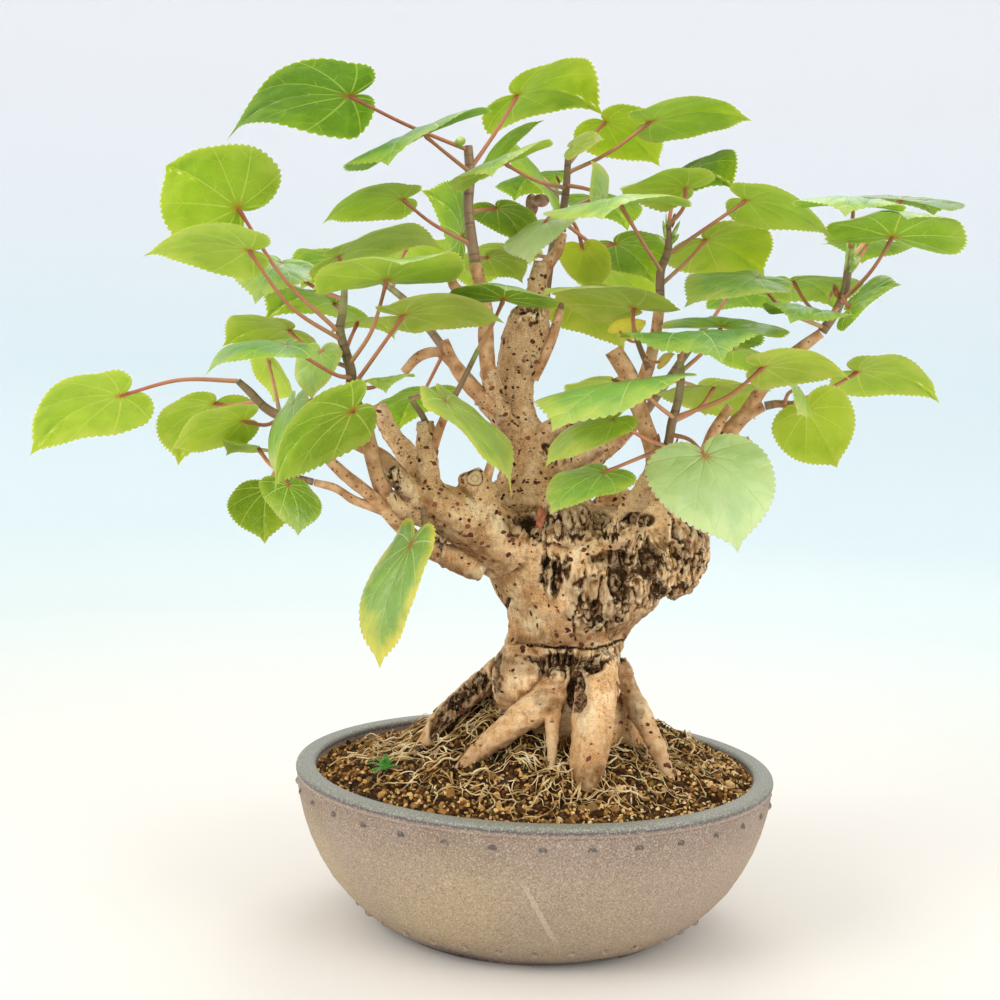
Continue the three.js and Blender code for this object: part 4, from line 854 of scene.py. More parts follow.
scatter, given, made = new_tree(
    "scatter over a surface", Geometry="Geometry", Pattern="Object", Density="Float", Seed="Int",
    Smallest="Vector", Largest="Vector", Tumble="Vector", Finish="Material",
)
where = add(scatter, "GeometryNodeInputNamedAttribute", {"Name": "bare"}, data_type="FLOAT")
spread = add(scatter, "GeometryNodeDistributePointsOnFaces", {
    "Mesh": given["Geometry"], "Density": given["Density"], "Seed": given["Seed"],
}, out=None)
dice = add(scatter, "FunctionNodeRandomValue", {
    1: (1.0, 1.0, 1.0), "Seed": given["Seed"],
}, data_type="FLOAT_VECTOR")
kept = add(scatter, "SeparateXYZ", [dice], out="X")
open_spot = add(scatter, "FunctionNodeCompare", [kept, where], operation="LESS_THAN")
size = add(scatter, "FunctionNodeRandomValue", {
    0: given["Smallest"], 1: given["Largest"], "Seed": 11,
}, data_type="FLOAT_VECTOR")
roll = add(scatter, "FunctionNodeRandomValue", {1: given["Tumble"], "Seed": 12}, data_type="FLOAT_VECTOR")
spin = add(scatter, "FunctionNodeEulerToRotation", [roll])
turn = add(scatter, "FunctionNodeRotateRotation", [spread.outputs["Rotation"], spin], rotation_space="LOCAL")
one = add(scatter, "GeometryNodeObjectInfo", {"Object": given["Pattern"]}, out="Geometry")
many = add(scatter, "GeometryNodeInstanceOnPoints", {
    "Points": spread.outputs["Points"], "Selection": open_spot, "Instance": one, "Rotation": turn,
    "Scale": size,
})
tone = add(scatter, "FunctionNodeRandomValue", {"Seed": 13}, data_type="FLOAT", out=1)
toned = add(scatter, "GeometryNodeStoreNamedAttribute", {
    "Geometry": many, "Name": "tone", "Value": tone,
}, data_type="FLOAT", domain="INSTANCE")
real = add(scatter, "GeometryNodeRealizeInstances", [toned])
painted = add(scatter, "GeometryNodeSetMaterial", {"Geometry": real, "Material": given["Finish"]})
feed(made, [painted])


def pebble(name, finer):
    """An uneven round pattern of 20 flat sides, or of 80."""
    ball = bmesh.new()
    bmesh.ops.create_icosphere(ball, subdivisions=2 if finer else 1, radius=1)
    dents = np.random.default_rng(17)
    for corner in ball.verts:
        corner.co *= dents.uniform(0.74, 1.12)
    piece = shaped(name, [(0, 0, 0)])
    ball.to_mesh(piece.data)
    ball.free()
    return piece


def varied(name, roughness, shine, stops, scale=None, detail=2.0, relief=None):
    """A finish that varies through its colour stops, by noise or else by the tone of each scattered grain. A
    relief is given by its strength and its depth in metres."""
    material, tree, surface = finish(name, roughness, shine)
    if scale:
        place = add(tree, "TexCoord", out="Object")
        share = add(tree, "TexNoise", {"Vector": place, "Scale": scale, "Detail": detail})
    else:
        share = add(tree, "Attribute", attribute_name="tone", out="Fac")
    feed(surface, {"Base Color": add(tree, "ValToRGB", [share], stops=stops)})
    if relief:
        strength, depth = relief
        feed(surface, {"Normal": add(tree, "Bump", {"Strength": strength, "Distance": depth, "Height": share})})
    return material


# Corky red-brown lenticel, matt and darker than the bark
cork = varied("red-brown cork", 0.85, 0.2, [(0.0, "#45231a"), (0.6, "#6d3826"), (1.0, "#96603f")])
wart_pattern = pebble("wart", finer=True)
warts = grown(
    wart_ground, scatter, Pattern=wart_pattern, Density=WART_DENSITY, Seed=5,
    Smallest=(0.0007, 0.0006, 0.0002), Largest=(0.0021, 0.0016, 0.0006), Tumble=(0.0, 0.0, FULL_TURN),
    Finish=cork,
)
removed(wart_pattern)
smooth(warts, 60)
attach(warts, "root")


# The soil: a mound of coarse dark grit and loam that fills the bowl and rises to the trunk, with loose
# grains, a few pebbles, pale feeding roots that run over it, and moss at the foot of the trunk.
SOIL_EDGE_HEIGHT = 81.5
SOIL_SLOPE = 0.02
SOIL_RISE = 54.0
MOUND_RADIUS = 116.0
SOIL_RADIUS = 118.6
SOIL_SIDE = [(83.3, 14.4), (87.4, 18.2), (109.9, 42), (117.2, 72), (118.3, 79)]
SOIL_TURNS = 200
SOIL_RING_STEP = 1.6


def mound(x, y):
    """Height in millimetres of the packed soil at a place, in millimetres from the pot's axis."""
    radius, turn = np.hypot(x, y), np.arctan2(x, -y)
    share = np.maximum(0, 1 - radius / MOUND_RADIUS)
    swells = 1.1 * np.sin(3 * turn + radius / 9) * np.minimum(1, share * 6)
    right_heap = 9 * np.exp(-((x - 76) ** 2 + (y - 36) ** 2) / 1000)
    left_heap = 8 * np.exp(-((x + 40) ** 2 + (y - 18) ** 2) / 500)
    return SOIL_EDGE_HEIGHT - SOIL_SLOPE * y + SOIL_RISE * share ** 1.5 + swells + right_heap + left_heap


def soil_top(x, y):
    """Height of the rough surface: the mound with clods and crumbs."""
    spot = np.column_stack([x, y, np.zeros(len(x))])
    calm = np.clip((SOIL_RADIUS - np.hypot(x, y)) / 8, 0.35, 1)
    crumbs = 2.6 * lumps(spot, 11.0, 31) + 2.0 * lumps(spot, 5.0, 32) + 0.8 * lumps(spot, 2.4, 33)
    return mound(x, y) + crumbs * calm


def soil_body():
    """Points and faces of the soil: its side, from the pot's floor up, and its rough top."""
    turns = np.arange(SOIL_TURNS) / SOIL_TURNS * 2 * math.pi
    circle = np.column_stack([np.sin(turns), -np.cos(turns)])
    rings = [np.column_stack([circle * radius, np.full(SOIL_TURNS, height)]) for radius, height in SOIL_SIDE]
    for radius in np.arange(SOIL_RADIUS, SOIL_RING_STEP / 2, -SOIL_RING_STEP):
        spots = circle * radius
        rings.append(np.column_stack([spots, soil_top(*spots.T)]))
    return POT_AXIS + np.vstack(rings) * MM, ring_faces(len(rings), SOIL_TURNS)


soil = shaped("soil_bed", *soil_body())
smooth(soil, 180)
# Loam between the grains: dark brown, damp and matt
loam = varied("dark damp loam", 0.95, 0.1, [
    (0.3, "#190e05"), (0.48, "#301c0e"), (0.6, "#4e3118"), (0.74, "#815a2c"),
], scale=300.0, detail=5.0, relief=(0.9, 0.0012))
soil.data.materials.append(loam)
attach(soil, "root")
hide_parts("soil")

# Grains: fired clay, pumice and bark crumbs, from near black through brown to ochre, and larger stones
def grit(name, stops):
    """The finish of the loose grains: each grain has its own tone, with fine specks."""
    material, tree, surface = finish(name, 0.92, 0.15)
    place = add(tree, "TexCoord", out="Object")
    speck = add(tree, "TexNoise", {"Vector": place, "Scale": 600.0, "Detail": 3.0})
    tone = add(tree, "Attribute", attribute_name="tone", out="Fac")
    mixed = add(tree, "Math", [speck, 0.35, tone], operation="MULTIPLY_ADD")
    shade = add(tree, "MapRange", [mixed, 0.12, 1.22])
    # The finer ochre grit lies mostly on the right of the bowl
    across_bowl = add(tree, "SeparateXYZ", [place], out="X")
    lighter = add(tree, "MapRange", [across_bowl, -0.05, 0.11, -0.06, 0.08])
    # Near the trunk the grains are drawn darker
    from_trunk = add(tree, "VectorMath", [place, (0.004, 0.004, 0.1)], operation="DISTANCE", out="Value")
    damp = add(tree, "MapRange", [from_trunk, 0.04, 0.085, -0.3, 0.02])
    drier = add(tree, "Math", [lighter, damp], operation="ADD")
    placed = add(tree, "Math", [shade, drier], operation="ADD")
    colour = add(tree, "ValToRGB", [placed], stops=stops)
    grain = add(tree, "Bump", {"Strength": 0.8, "Distance": 0.0005, "Height": speck})
    feed(surface, {"Base Color": colour, "Normal": grain})
    return material


fine_grit = grit("mixed brown and ochre grit", [
    (0.0, "#26170a"), (0.2, "#492f17"), (0.36, "#714d26"), (0.52, "#976c38"), (0.68, "#ba8b49"),
    (0.84, "#dcb06b"), (1.0, "#eccc94"),
])
crumbs_of_loam = grit("brown crumbs of loam", [
    (0.0, "#1f1207"), (0.25, "#3f2813"), (0.5, "#6d4824"), (0.7, "#986d3a"), (0.86, "#c09352"),
    (1.0, "#e0bc84"),
])
stones = grit("brown, tan and grey stones", [
    (0.0, "#362617"), (0.2, "#5e4d33"), (0.4, "#7d6137"), (0.58, "#947442"), (0.75, "#a46a34"),
    (0.9, "#cba46d"), (1.0, "#938772"),
])

soil_points, soil_normals = points_and_normals(soil)
soil_side = (soil_points - POT_AXIS)[:, :2] / MM
on_top = rising(SOIL_RADIUS + 1 - np.hypot(*soil_side.T), 0, 1) * (soil_normals[:, 2] > 0.3)
raised_soil = soil_points[:, 2] / MM - mound(*soil_side.T)
clods = on_top * (0.25 + 0.75 * rising(raised_soil, -2.2, -0.4))
front_left = rising(-soil_side[:, 1], 10, 60) * rising(-soil_side[:, 0], -60, 0)
# Each kind of grain: whether its pattern is finer, its number to a square metre, its seed, its smallest and
# largest half sizes in metres, how open the soil is to it, and its finish
GRAIN_SETS = {
    "soil_grains": (False, 150000.0, 7, (0.0005, 0.0005, 0.0004), (0.0022, 0.0019, 0.0016), clods, fine_grit),
    "soil_clods": (True, 5500.0, 6, (0.0013, 0.0010, 0.0008), (0.0040, 0.0030, 0.0022), clods, crumbs_of_loam),
    "soil_pebbles": (
        True, 2600.0, 8, (0.0014, 0.0013, 0.0011), (0.0038, 0.0033, 0.0028), on_top * front_left, stones,
    ),
}
for name, (finer, density, seed, smallest, largest, bare, skin) in GRAIN_SETS.items():
    pattern = pebble("grain", finer)
    grains = grown(
        bare_copy(name, soil, bare), scatter, Pattern=pattern, Density=density * 1.0,
        Seed=seed, Smallest=smallest, Largest=largest, Tumble=(FULL_TURN,) * 3, Finish=skin,
    )
    removed(pattern)
    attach(grains, "root")

# Feeding roots: hair-fine to 1.6 mm thick, cream, wandering over the soil mostly in front, and straws
FEEDING_ROOTS = 370
STRAWS = 60

root_dice = np.random.default_rng(41)
fine_lines = []
for _ in range(FEEDING_ROOTS):
    heading = root_dice.uniform(-3.5, 0.3)
    spot = np.array([4, 2]) + root_dice.uniform(18, 96) * np.array([math.cos(heading), math.sin(heading)])
    thick = root_dice.choice([0.26, 0.36, 0.46, 0.6, 0.8], p=[0.25, 0.3, 0.25, 0.13, 0.07])
    lift = root_dice.uniform(0.3, 2.2)
    heading += root_dice.normal(0, 0.7)
    steps = int(root_dice.integers(6, 24))
    line = []
    for step in range(steps):
        if np.hypot(*spot) > SOIL_RADIUS - 4:
            break
        share = step / steps
        ground = soil_top(spot[:1], spot[1:])[0]
        arc = lift * (0.5 + 2.2 * math.sin(math.pi * share)) - 2.0 * share ** 4
        line.append([*(POT_AXIS + np.array([*spot, ground + arc]) * MM), thick * (1 - 0.6 * share) * MM])
        heading += root_dice.normal(0, 0.42)
        spot = spot + 2.2 * np.array([math.cos(heading), math.sin(heading)])
    if len(line) > 3:
        fine_lines.append(line)
# One thicker pale root crosses the left of the bowl, and short straws lie about
thick_root = np.array([(-46, -12, 3.2, 0.9), (-58, -15, 4.2, 1.1), (-70, -26, 2.6, 1.0), (-82, -36, 0.6, 0.7)])
drawn = [root_dice.uniform(low, high, STRAWS) for low, high in ((-95, 90), (-90, 20), (0, FULL_TURN))]
straws = [
    np.array([(x, y, 1.2, 0.5), (x + 6 * math.cos(t), y + 6 * math.sin(t), 1.6, 0.5),
              (x + 12 * math.cos(t), y + 12 * math.sin(t), 1.4, 0.4)])
    for x, y, t in zip(*drawn) if math.hypot(x, y) < 98
]
for line, lift in [(thick_root, 0.0)] + [(straw, 0.5) for straw in straws]:
    fine_lines.append([
        [*(POT_AXIS + np.array([x, y, soil_top(np.array([x]), np.array([y]))[0] + up + lift]) * MM), wide * MM]
        for x, y, up, wide in smooth_line(line, 3)
    ])
root_skin = varied("pale feeding root", 0.8, 0.2, [
    (0.32, "#77572f"), (0.43, "#af8a54"), (0.55, "#d7bb87"), (0.68, "#efddb4"),
], scale=110.0, detail=4.0)
fine_roots = grown(strands("fine_roots", fine_lines), sweep, Sides=5, Bark=root_skin)
smooth(fine_roots, 180)
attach(fine_roots, "root")

# Moss: dark green crumbs in patches at the left of the trunk and between the roots, each patch with its
# place in millimetres from the pot's axis and how wide it spreads
MOSS_PATCHES = [
    (-30, 4, 420), (24, -34, 200), (2, -26, 240), (52, -14, 200), (80, 20, 300), (-62, -14, 120),
    (-14, -50, 90), (60, -60, 90), (88, -20, 120),
]
moss_green = varied("dark moss", 0.95, 0.1, [(0.0, "#26271a"), (0.6, "#4a4a26"), (1.0, "#777438")])
patch = np.zeros(len(soil_points))
for x, y, spread in MOSS_PATCHES:
    patch += np.exp(-((soil_side[:, 0] - x) ** 2 + (soil_side[:, 1] - y) ** 2) / spread)
mossy = on_top * (0.12 + 0.88 * rising(patch + 0.5 * lumps(soil_points, 0.010, 34), 0.35, 0.8))
pattern = pebble("moss crumb", False)
moss = grown(
    bare_copy("moss", soil, mossy), scatter, Pattern=pattern, Density=200000.0, Seed=9,
    Smallest=(0.0004, 0.0004, 0.0008), Largest=(0.0009, 0.0009, 0.0022), Tumble=(0.5, 0.5, FULL_TURN),
    Finish=moss_green,
)
removed(pattern)
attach(moss, "root")


# The fern sprig: a seedling fern in the soil at the front left, bright green feathered fronds on a
# short stalk.
FERN_STALK = [[385, 783, -52, 0.9], [385, 775, -52, 0.8], [386, 769, -52, 0.6]]
FROND_TIPS = [
    [367, 764, -57], [375, 756, -48], [396, 757, -50], [399, 767, -58], [372, 772, -61], [386, 754, -55],
]
FROND_PAIRS = 9

fern_stalks = [stretch(FERN_STALK, 1.5)]
leaflet_points, leaflet_faces = [], []
for tip in FROND_TIPS:
    start, end = sight([FERN_STALK[-1][:3], tip])
    along = end - start
    length = np.linalg.norm(along)
    along /= length
    cross = np.cross([0, 0, 1], along)
    cross /= np.linalg.norm(cross)
    up = np.cross(along, cross)
    on_rib = lambda share: start + along * share * length + up * 0.6 * share * (1 - share) * length
    fern_stalks.append([[*on_rib(share), 0.00035 * (1.2 - share)] for share in np.linspace(0, 1, 9)])
    for pair in range(FROND_PAIRS):
        share = (pair + 1) / (FROND_PAIRS + 0.5)
        reach = length * 0.36 * (1 - 0.75 * share)
        for way in (-1, 1):
            root = on_rib(share)
            out = cross * way * 0.92 + along * 0.4
            broad = along * 0.9 - cross * way * 0.39
            outline = [(0.0, 0.0), (0.3, 0.16), (0.65, 0.17), (1.0, 0.0), (0.65, -0.17), (0.3, -0.16)]
            base = len(leaflet_points)
            for side in (1, -1):
                for far, wide in outline:
                    hang = -0.25 * far * far * reach
                    edge = side * 0.00018 if 0 < far < 1 else side * 0.00006
                    leaflet_points.append(root + out * far * reach + broad * wide * reach + up * (hang + edge))
            top, bottom = list(range(base, base + 6)), list(range(base + 6, base + 12))
            if way > 0:
                top, bottom = top[::-1], bottom[::-1]
            leaflet_faces += [tuple(top), tuple(reversed(bottom))]
            leaflet_faces += [(top[i], bottom[i], bottom[(i + 1) % 6], top[(i + 1) % 6]) for i in range(6)]
# Young fern leaf: thin and bright green, with a soft gloss
fern_green = varied(
    "bright young fern", 0.5, 0.5, [(0.3, "#2c6b20"), (0.5, "#438f2c"), (0.7, "#6fae42")], scale=300.0,
)
fern = shaped("fern_fronds", leaflet_points, leaflet_faces)
merged(fern, [grown(strands("fern ribs", fern_stalks), sweep, Sides=6)])
fern.data.materials.clear()
fern.data.materials.append(fern_green)
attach(fern, "root")
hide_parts("fern_sprig")


# The leafy stems: green or woody shoots, each with red-brown petioles and broad heart-shaped leaves. A
# leaf is given by where its petiole leaves the stem, a bend of the petiole, the foot of the blade, its
# tip, and how much its upper side faces the eye.


def leaf(joint, bend, foot, tip, face, axis=None, wide=1, curl=0.18, thick=1.2):
    """One leaf of a shoot, from places read off the picture. A blade seen from its edge is given instead by
    its axis, how many degrees its width slopes. Wide and curl are shares, and thick is the petiole's radius."""
    return {
        "joint": joint, "bend": bend, "foot": foot, "tip": tip, "face": face, "axis": axis, "wide": wide,
        "curl": curl, "thick": thick,
    }


SHOOTS = {
    "top_left_leader": ([
        [475, 262, -15, 3.1], [471, 235, -15, 2.9], [468, 205, -14, 2.8], [470, 175, -13, 2.7],
        [468, 146, -12, 2.4],
    ], [
        leaf([468, 150, -12], [405, 124, -36], [349, 96, -56], [226, 142, -70], -0.42),
        leaf([471, 173, -14], [447, 154, -30], [424, 135, -40], [388, 166, -100], 0, axis=-25),
        leaf([471, 168, -13], [497, 130, -10], [518, 95, -4], [604, 116, 26], -0.64),
        leaf([471, 244, -15], [430, 222, -32], [402, 199, -44], [322, 225, -56], -0.34, wide=0.94),
        leaf([472, 250, -14], [466, 243, 4], [461, 236, 20], [420, 190, 46], -0.7, wide=0.85),
        leaf([470, 212, -14], [483, 210, -8], [497, 208, -3], [523, 250, 17], -0.75),
        leaf([473, 256, -14], [482, 258, -4], [488, 258, 4], [523, 284, 22], -0.7),
        leaf([470, 170, -13], [479, 168, -4], [488, 166, 2], [545, 120, 0], -0.3, wide=0.6),
    ]),
    "top_centre": ([
        [562, 232, 15, 2.4], [563, 215, 15, 2.3], [566, 190, 14, 2.2], [568, 158, 13, 1.8],
    ], [
        leaf([568, 165, 14], [588, 140, 30], [606, 122, 42], [660, 167, 62], -0.72),
        leaf([567, 173, 14], [605, 155, 6], [652, 121, -4], [752, 121, -14], -0.33),
        leaf([568, 160, 13], [569, 152, 8], [572, 147, 5], [605, 140, -2], 0.5, thick=0.8),
        leaf([563, 215, 15], [553, 213, -2], [545, 223, -14], [530, 266, -40], 0.72),
        leaf([564, 212, 15], [575, 225, 20], [583, 249, 24], [593, 294, 30], -0.82, wide=1.1),
        leaf([563, 222, 15], [600, 246, 26], [616, 244, 34], [655, 285, 62], -0.8),
        leaf([565, 188, 14], [530, 178, -24], [505, 164, -46], [492, 177, -90], 0, axis=-26),
        leaf([566, 185, 14], [590, 190, 2], [602, 196, -6], [590, 160, -16], 0.5),
        leaf([565, 194, 14], [552, 190, 26], [545, 184, 34], [508, 168, 66], -0.5),
    ]),
    "upper_right": ([
        [660, 298, -20, 2.6], [661, 270, -21, 2.4], [668, 250, -21, 2.2], [668, 225, -20, 1.7],
    ], [
        leaf([669, 254, -21], [715, 222, -32], [747, 200, -38], [834, 240, -44], -0.36),
        leaf([661, 285, -20], [690, 258, 0], [706, 240, 14], [765, 278, 42], -0.75),
        leaf([668, 232, -20], [672, 205, -4], [680, 178, 8], [736, 190, 38], -0.66),
        leaf([668, 226, -20], [684, 206, -30], [686, 188, -36], [618, 190, -56], -0.38),
        leaf([661, 271, -22], [645, 246, -44], [620, 204, -54], [602, 220, -112], 0, axis=-6),
    ]),
    "far_right": ([
        [822, 332, -8, 2.6], [838, 308, -9, 2.4], [845, 290, -10, 2.3], [848, 268, -10, 2.1],
        [850, 244, -10, 1.5],
    ], [
        leaf([840, 303, -10], [872, 270, -24], [893, 237, -30], [908, 220, -88], 0, axis=5, curl=0.3),
        leaf([850, 248, -10], [853, 213, -34], [850, 205, -76], [845, 217, -118], 0, axis=2),
        leaf([848, 262, -10], [875, 230, 20], [902, 200, 40], [934, 216, 82], 0, axis=6),
        leaf([848, 275, -10], [858, 262, 8], [868, 242, 20], [862, 264, 60], 0, axis=3),
        leaf([843, 296, -10], [846, 303, -22], [850, 308, -28], [902, 285, -48], 0.42),
        leaf([838, 308, -9], [824, 316, -32], [812, 313, -46], [790, 324, -90], 0, axis=6, wide=0.78),
        leaf([830, 320, -9], [808, 305, 4], [793, 281, 12], [838, 312, 54], -0.6),
        leaf([824, 328, -8], [780, 306, -30], [756, 278, -42], [684, 308, -62], 0.42),
    ]),
    "right_centre": ([
        [666.5, 450, -67, 2.4], [669, 440, -69, 2.4], [672, 422, -70, 2.4], [677, 405, -70, 2.2],
        [681, 375, -69, 2], [680, 354, -68, 1.5],
    ], [
        leaf([674, 418, -70], [730, 395, -82], [764, 367, -90], [852, 381, -98], -0.36),
        leaf([673, 422, -70], [700, 407, -62], [715, 387, -54], [705, 416, -8], 0, axis=-2),
        leaf([674, 418, -70], [655, 403, -88], [634, 382, -100], [552, 432, -146], 0, axis=-8),
        leaf([665, 446, -68], [648, 440, -84], [613, 420, -98], [545, 468, -104], 0.34),
        leaf([665, 447, -68], [644, 456, -84], [603, 473, -92], [550, 515, -112], 0.56),
        leaf([668, 434, -69], [690, 440, -78], [705, 456, -86], [738, 553, -104], 0.9, wide=1.06),
        leaf([680, 362, -68], [684, 345, -78], [684, 337, -84], [722, 364, -138], 0, axis=2),
        leaf([681, 372, -69], [705, 350, -56], [722, 327, -46], [740, 331, 6], 0, axis=5),
    ]),
    "low_right": ([
        [765, 406, -2, 2.4], [775, 404, -3, 2.2], [793, 404, -4, 1.6],
    ], [
        leaf([772, 404, -3], [795, 408, -16], [807, 410, -22], [837, 468, -34], -0.96, wide=1.08),
        leaf([790, 404, -4], [838, 384, 6], [858, 372, 10], [940, 404, 14], -0.5, wide=0.94),
        leaf([784, 404, -4], [790, 392, -24], [798, 388, -34], [797, 416, -52], 0.5),
    ]),
    "centre": ([
        [648, 367, -22.5, 1.7], [640, 348, -30, 1.5], [634, 330, -36, 1.4],
    ], [
        leaf([634, 330, -36], [633, 318, -42], [634, 308, -48], [540, 297, -82], -0.16),
        leaf([638, 342, -32], [628, 340, -20], [620, 332, -14], [647, 321, -6], 0.5, thick=0.8),
        leaf([644, 358, -26], [652, 362, -36], [660, 362, -42], [676, 354, -46], 0.5, thick=0.8),
    ]),
    "upper_left": ([
        [366, 424, -61, 3.2], [357, 405, -62, 3], [352, 392, -62, 2.9], [351, 372, -62, 2.7],
        [345, 350, -61, 2.5], [340, 330, -60, 2.3], [343, 310, -60, 2.1], [345, 282, -59, 1.5],
    ], [
        leaf([340, 333, -60], [285, 280, -72], [238, 208, -80], [165, 166, -121], -0.95),
        leaf([341, 340, -60], [290, 306, -84], [248, 250, -98], [142, 257, -110], -0.4),
        leaf([344, 300, -60], [312, 286, -42], [280, 263, -26], [255, 305, -58], 0.9),
        leaf([345, 283, -59], [342, 268, -62], [339, 256, -64], [446, 251, -40], -0.3),
        leaf([350, 364, -62], [372, 330, -80], [387, 280, -92], [402, 265, -150], 0, axis=-5),
        leaf([352, 388, -62], [372, 360, -74], [404, 315, -82], [505, 324, -92], -0.28, wide=0.92),
        leaf([352, 385, -62], [370, 388, -66], [390, 378, -70], [386, 394, -94], 0, axis=-8, wide=0.85),
        leaf([351, 378, -62], [330, 372, -94], [286, 345, -110], [204, 377, -128], 0.26),
        leaf([353, 394, -62], [325, 398, -76], [293, 404, -84], [276, 476, -90], 0.3, wide=0.85),
        leaf([364, 420, -61], [360, 414, -84], [352, 411, -102], [275, 495, -120], -0.42),
        leaf([347, 356, -61], [336, 349, -62], [320, 352, -64], [312, 402, -72], 0.85, wide=0.8),
        leaf([343, 312, -60], [338, 308, -36], [334, 304, -14], [264, 322, 10], -0.5),
        leaf([346, 350, -61], [352, 335, -48], [358, 322, -40], [395, 340, -16], -0.5),
        leaf([349, 368, -61], [310, 350, -40], [288, 330, -24], [222, 347, -10], -0.5),
    ]),
    "far_left": ([
        [295, 424, -41, 2.7], [262, 405, -40, 2.4], [250, 392, -40, 2.2], [238, 381, -40, 1.7],
    ], [
        leaf([238, 381, -40], [180, 380, -48], [120, 396, -56], [30, 456, -62], -0.6, wide=0.94),
        leaf([258, 401, -40], [235, 405, -32], [214, 404, -24], [178, 466, -6], -0.75),
        leaf([282, 417, -40], [265, 425, -56], [243, 421, -68], [170, 452, -82], -0.42),
        leaf([280, 415, -40], [274, 385, -12], [268, 360, 10], [273, 403, 30], -0.6),
    ]),
    "low_left": ([
        [313, 482, -75, 1.8], [295, 477, -78, 1.7], [275, 468, -80, 1.4],
    ], [
        leaf([276, 469, -80], [272, 478, -72], [268, 489, -64], [265, 544, -54], -0.95, wide=1.1),
        leaf([277, 470, -80], [284, 476, -92], [288, 486, -102], [298, 536, -114], 0.8, wide=1.05),
        leaf([275, 468, -80], [268, 462, -72], [258, 448, -64], [226, 456, -50], -0.4),
    ]),
    "stub_shoot": ([
        [427, 426, -50, 1.8], [422, 415, -52, 1.7], [415, 405, -54, 1.6], [410, 397, -56, 1.3],
    ], [
        leaf([411, 399, -56], [425, 395, -74], [446, 402, -90], [512, 499, -98], 0.34, wide=0.7),
    ]),
    "hanging_leaf": ([
        [423, 508, -63, 1.5], [424, 520, -64, 1.4], [424, 532, -65, 1.3],
    ], [
        leaf([424, 531, -65], [419, 538, -71], [411, 545, -77], [380, 669, -84], 0.6, wide=0.55),
    ]),
    "centre_shoot": ([
        [452, 401, -57, 1.7], [457, 392, -58, 1.6], [478, 350, -62, 1.4],
    ], [
        leaf([478, 350, -62], [492, 325, -72], [504, 299, -82], [506, 291, -126], 0, axis=5),
    ]),
    "trunk_twig": ([
        [560, 309, 12, 1.9], [564, 300, 13, 1.7], [570, 294, 15, 1.4],
    ], [
        leaf([570, 294, 15], [574, 294, 22], [580, 300, 28], [624, 352, 44], -0.8),
    ]),
    "back_left": ([
        [452, 360, 34, 2.6], [430, 330, 48, 2.4], [405, 300, 62, 2.2], [380, 280, 72, 1.8],
    ], [
        leaf([380, 282, 72], [360, 270, 84], [346, 262, 94], [300, 290, 122], -0.7),
        leaf([445, 350, 38], [430, 380, 46], [424, 392, 56], [398, 432, 84], -0.7),
        leaf([392, 290, 68], [400, 262, 74], [408, 246, 82], [450, 268, 112], -0.6),
    ]),
    "back_top": ([
        [545, 300, 22, 2.6], [550, 262, 40, 2.4], [556, 225, 60, 2.2], [556, 190, 74, 1.7],
    ], [
        leaf([556, 192, 74], [545, 180, 86], [538, 174, 96], [514, 202, 130], 0, axis=-4),
        leaf([556, 222, 61], [580, 204, 78], [594, 198, 90], [628, 232, 120], -0.6),
        leaf([550, 258, 42], [520, 252, 62], [504, 250, 74], [472, 296, 106], -0.7),
        leaf([553, 243, 50], [590, 262, 70], [606, 268, 82], [650, 312, 100], -0.7),
    ]),
    "back_right": ([
        [640, 420, 34, 2.6], [664, 386, 48, 2.4], [690, 348, 62, 2.2], [712, 318, 72, 1.8],
    ], [
        leaf([712, 320, 72], [726, 300, 82], [738, 290, 92], [790, 312, 118], -0.6),
        leaf([700, 335, 66], [720, 344, 84], [734, 350, 96], [764, 384, 128], -0.6),
        leaf([668, 380, 50], [690, 384, 62], [704, 390, 72], [756, 420, 84], -0.6),
        leaf([652, 402, 41], [626, 384, 56], [612, 380, 66], [588, 412, 100], -0.7),
    ]),
}

# The heart's outline: how far the rim lies from the foot of the blade at each angle off the midrib, as
# shares of the blade's length. Ribs leave the foot 36 degrees apart and bend toward the tip.
HEART = np.array([
    (0, 1), (1.5, 0.955), (3.2, 0.92), (6, 0.885), (11, 0.85), (16, 0.825), (30, 0.77), (48, 0.705),
    (68, 0.64), (90, 0.565), (110, 0.45), (128, 0.32), (145, 0.215), (162, 0.12), (180, 0.04),
])
BLADE_SPOKES = 60
BLADE_RINGS = [0.1, 0.27, 0.47, 0.67, 0.85, 0.965]
TOOTH = 0.017
TOOTH_SHAPE = [-0.55, 0.5, 1.0, 0.6]
RIB_APART = 36.0
RIB_BEND = 13.0
BLADE_THICKNESS = 0.0065
SIDE_RIBS_APART = 0.13


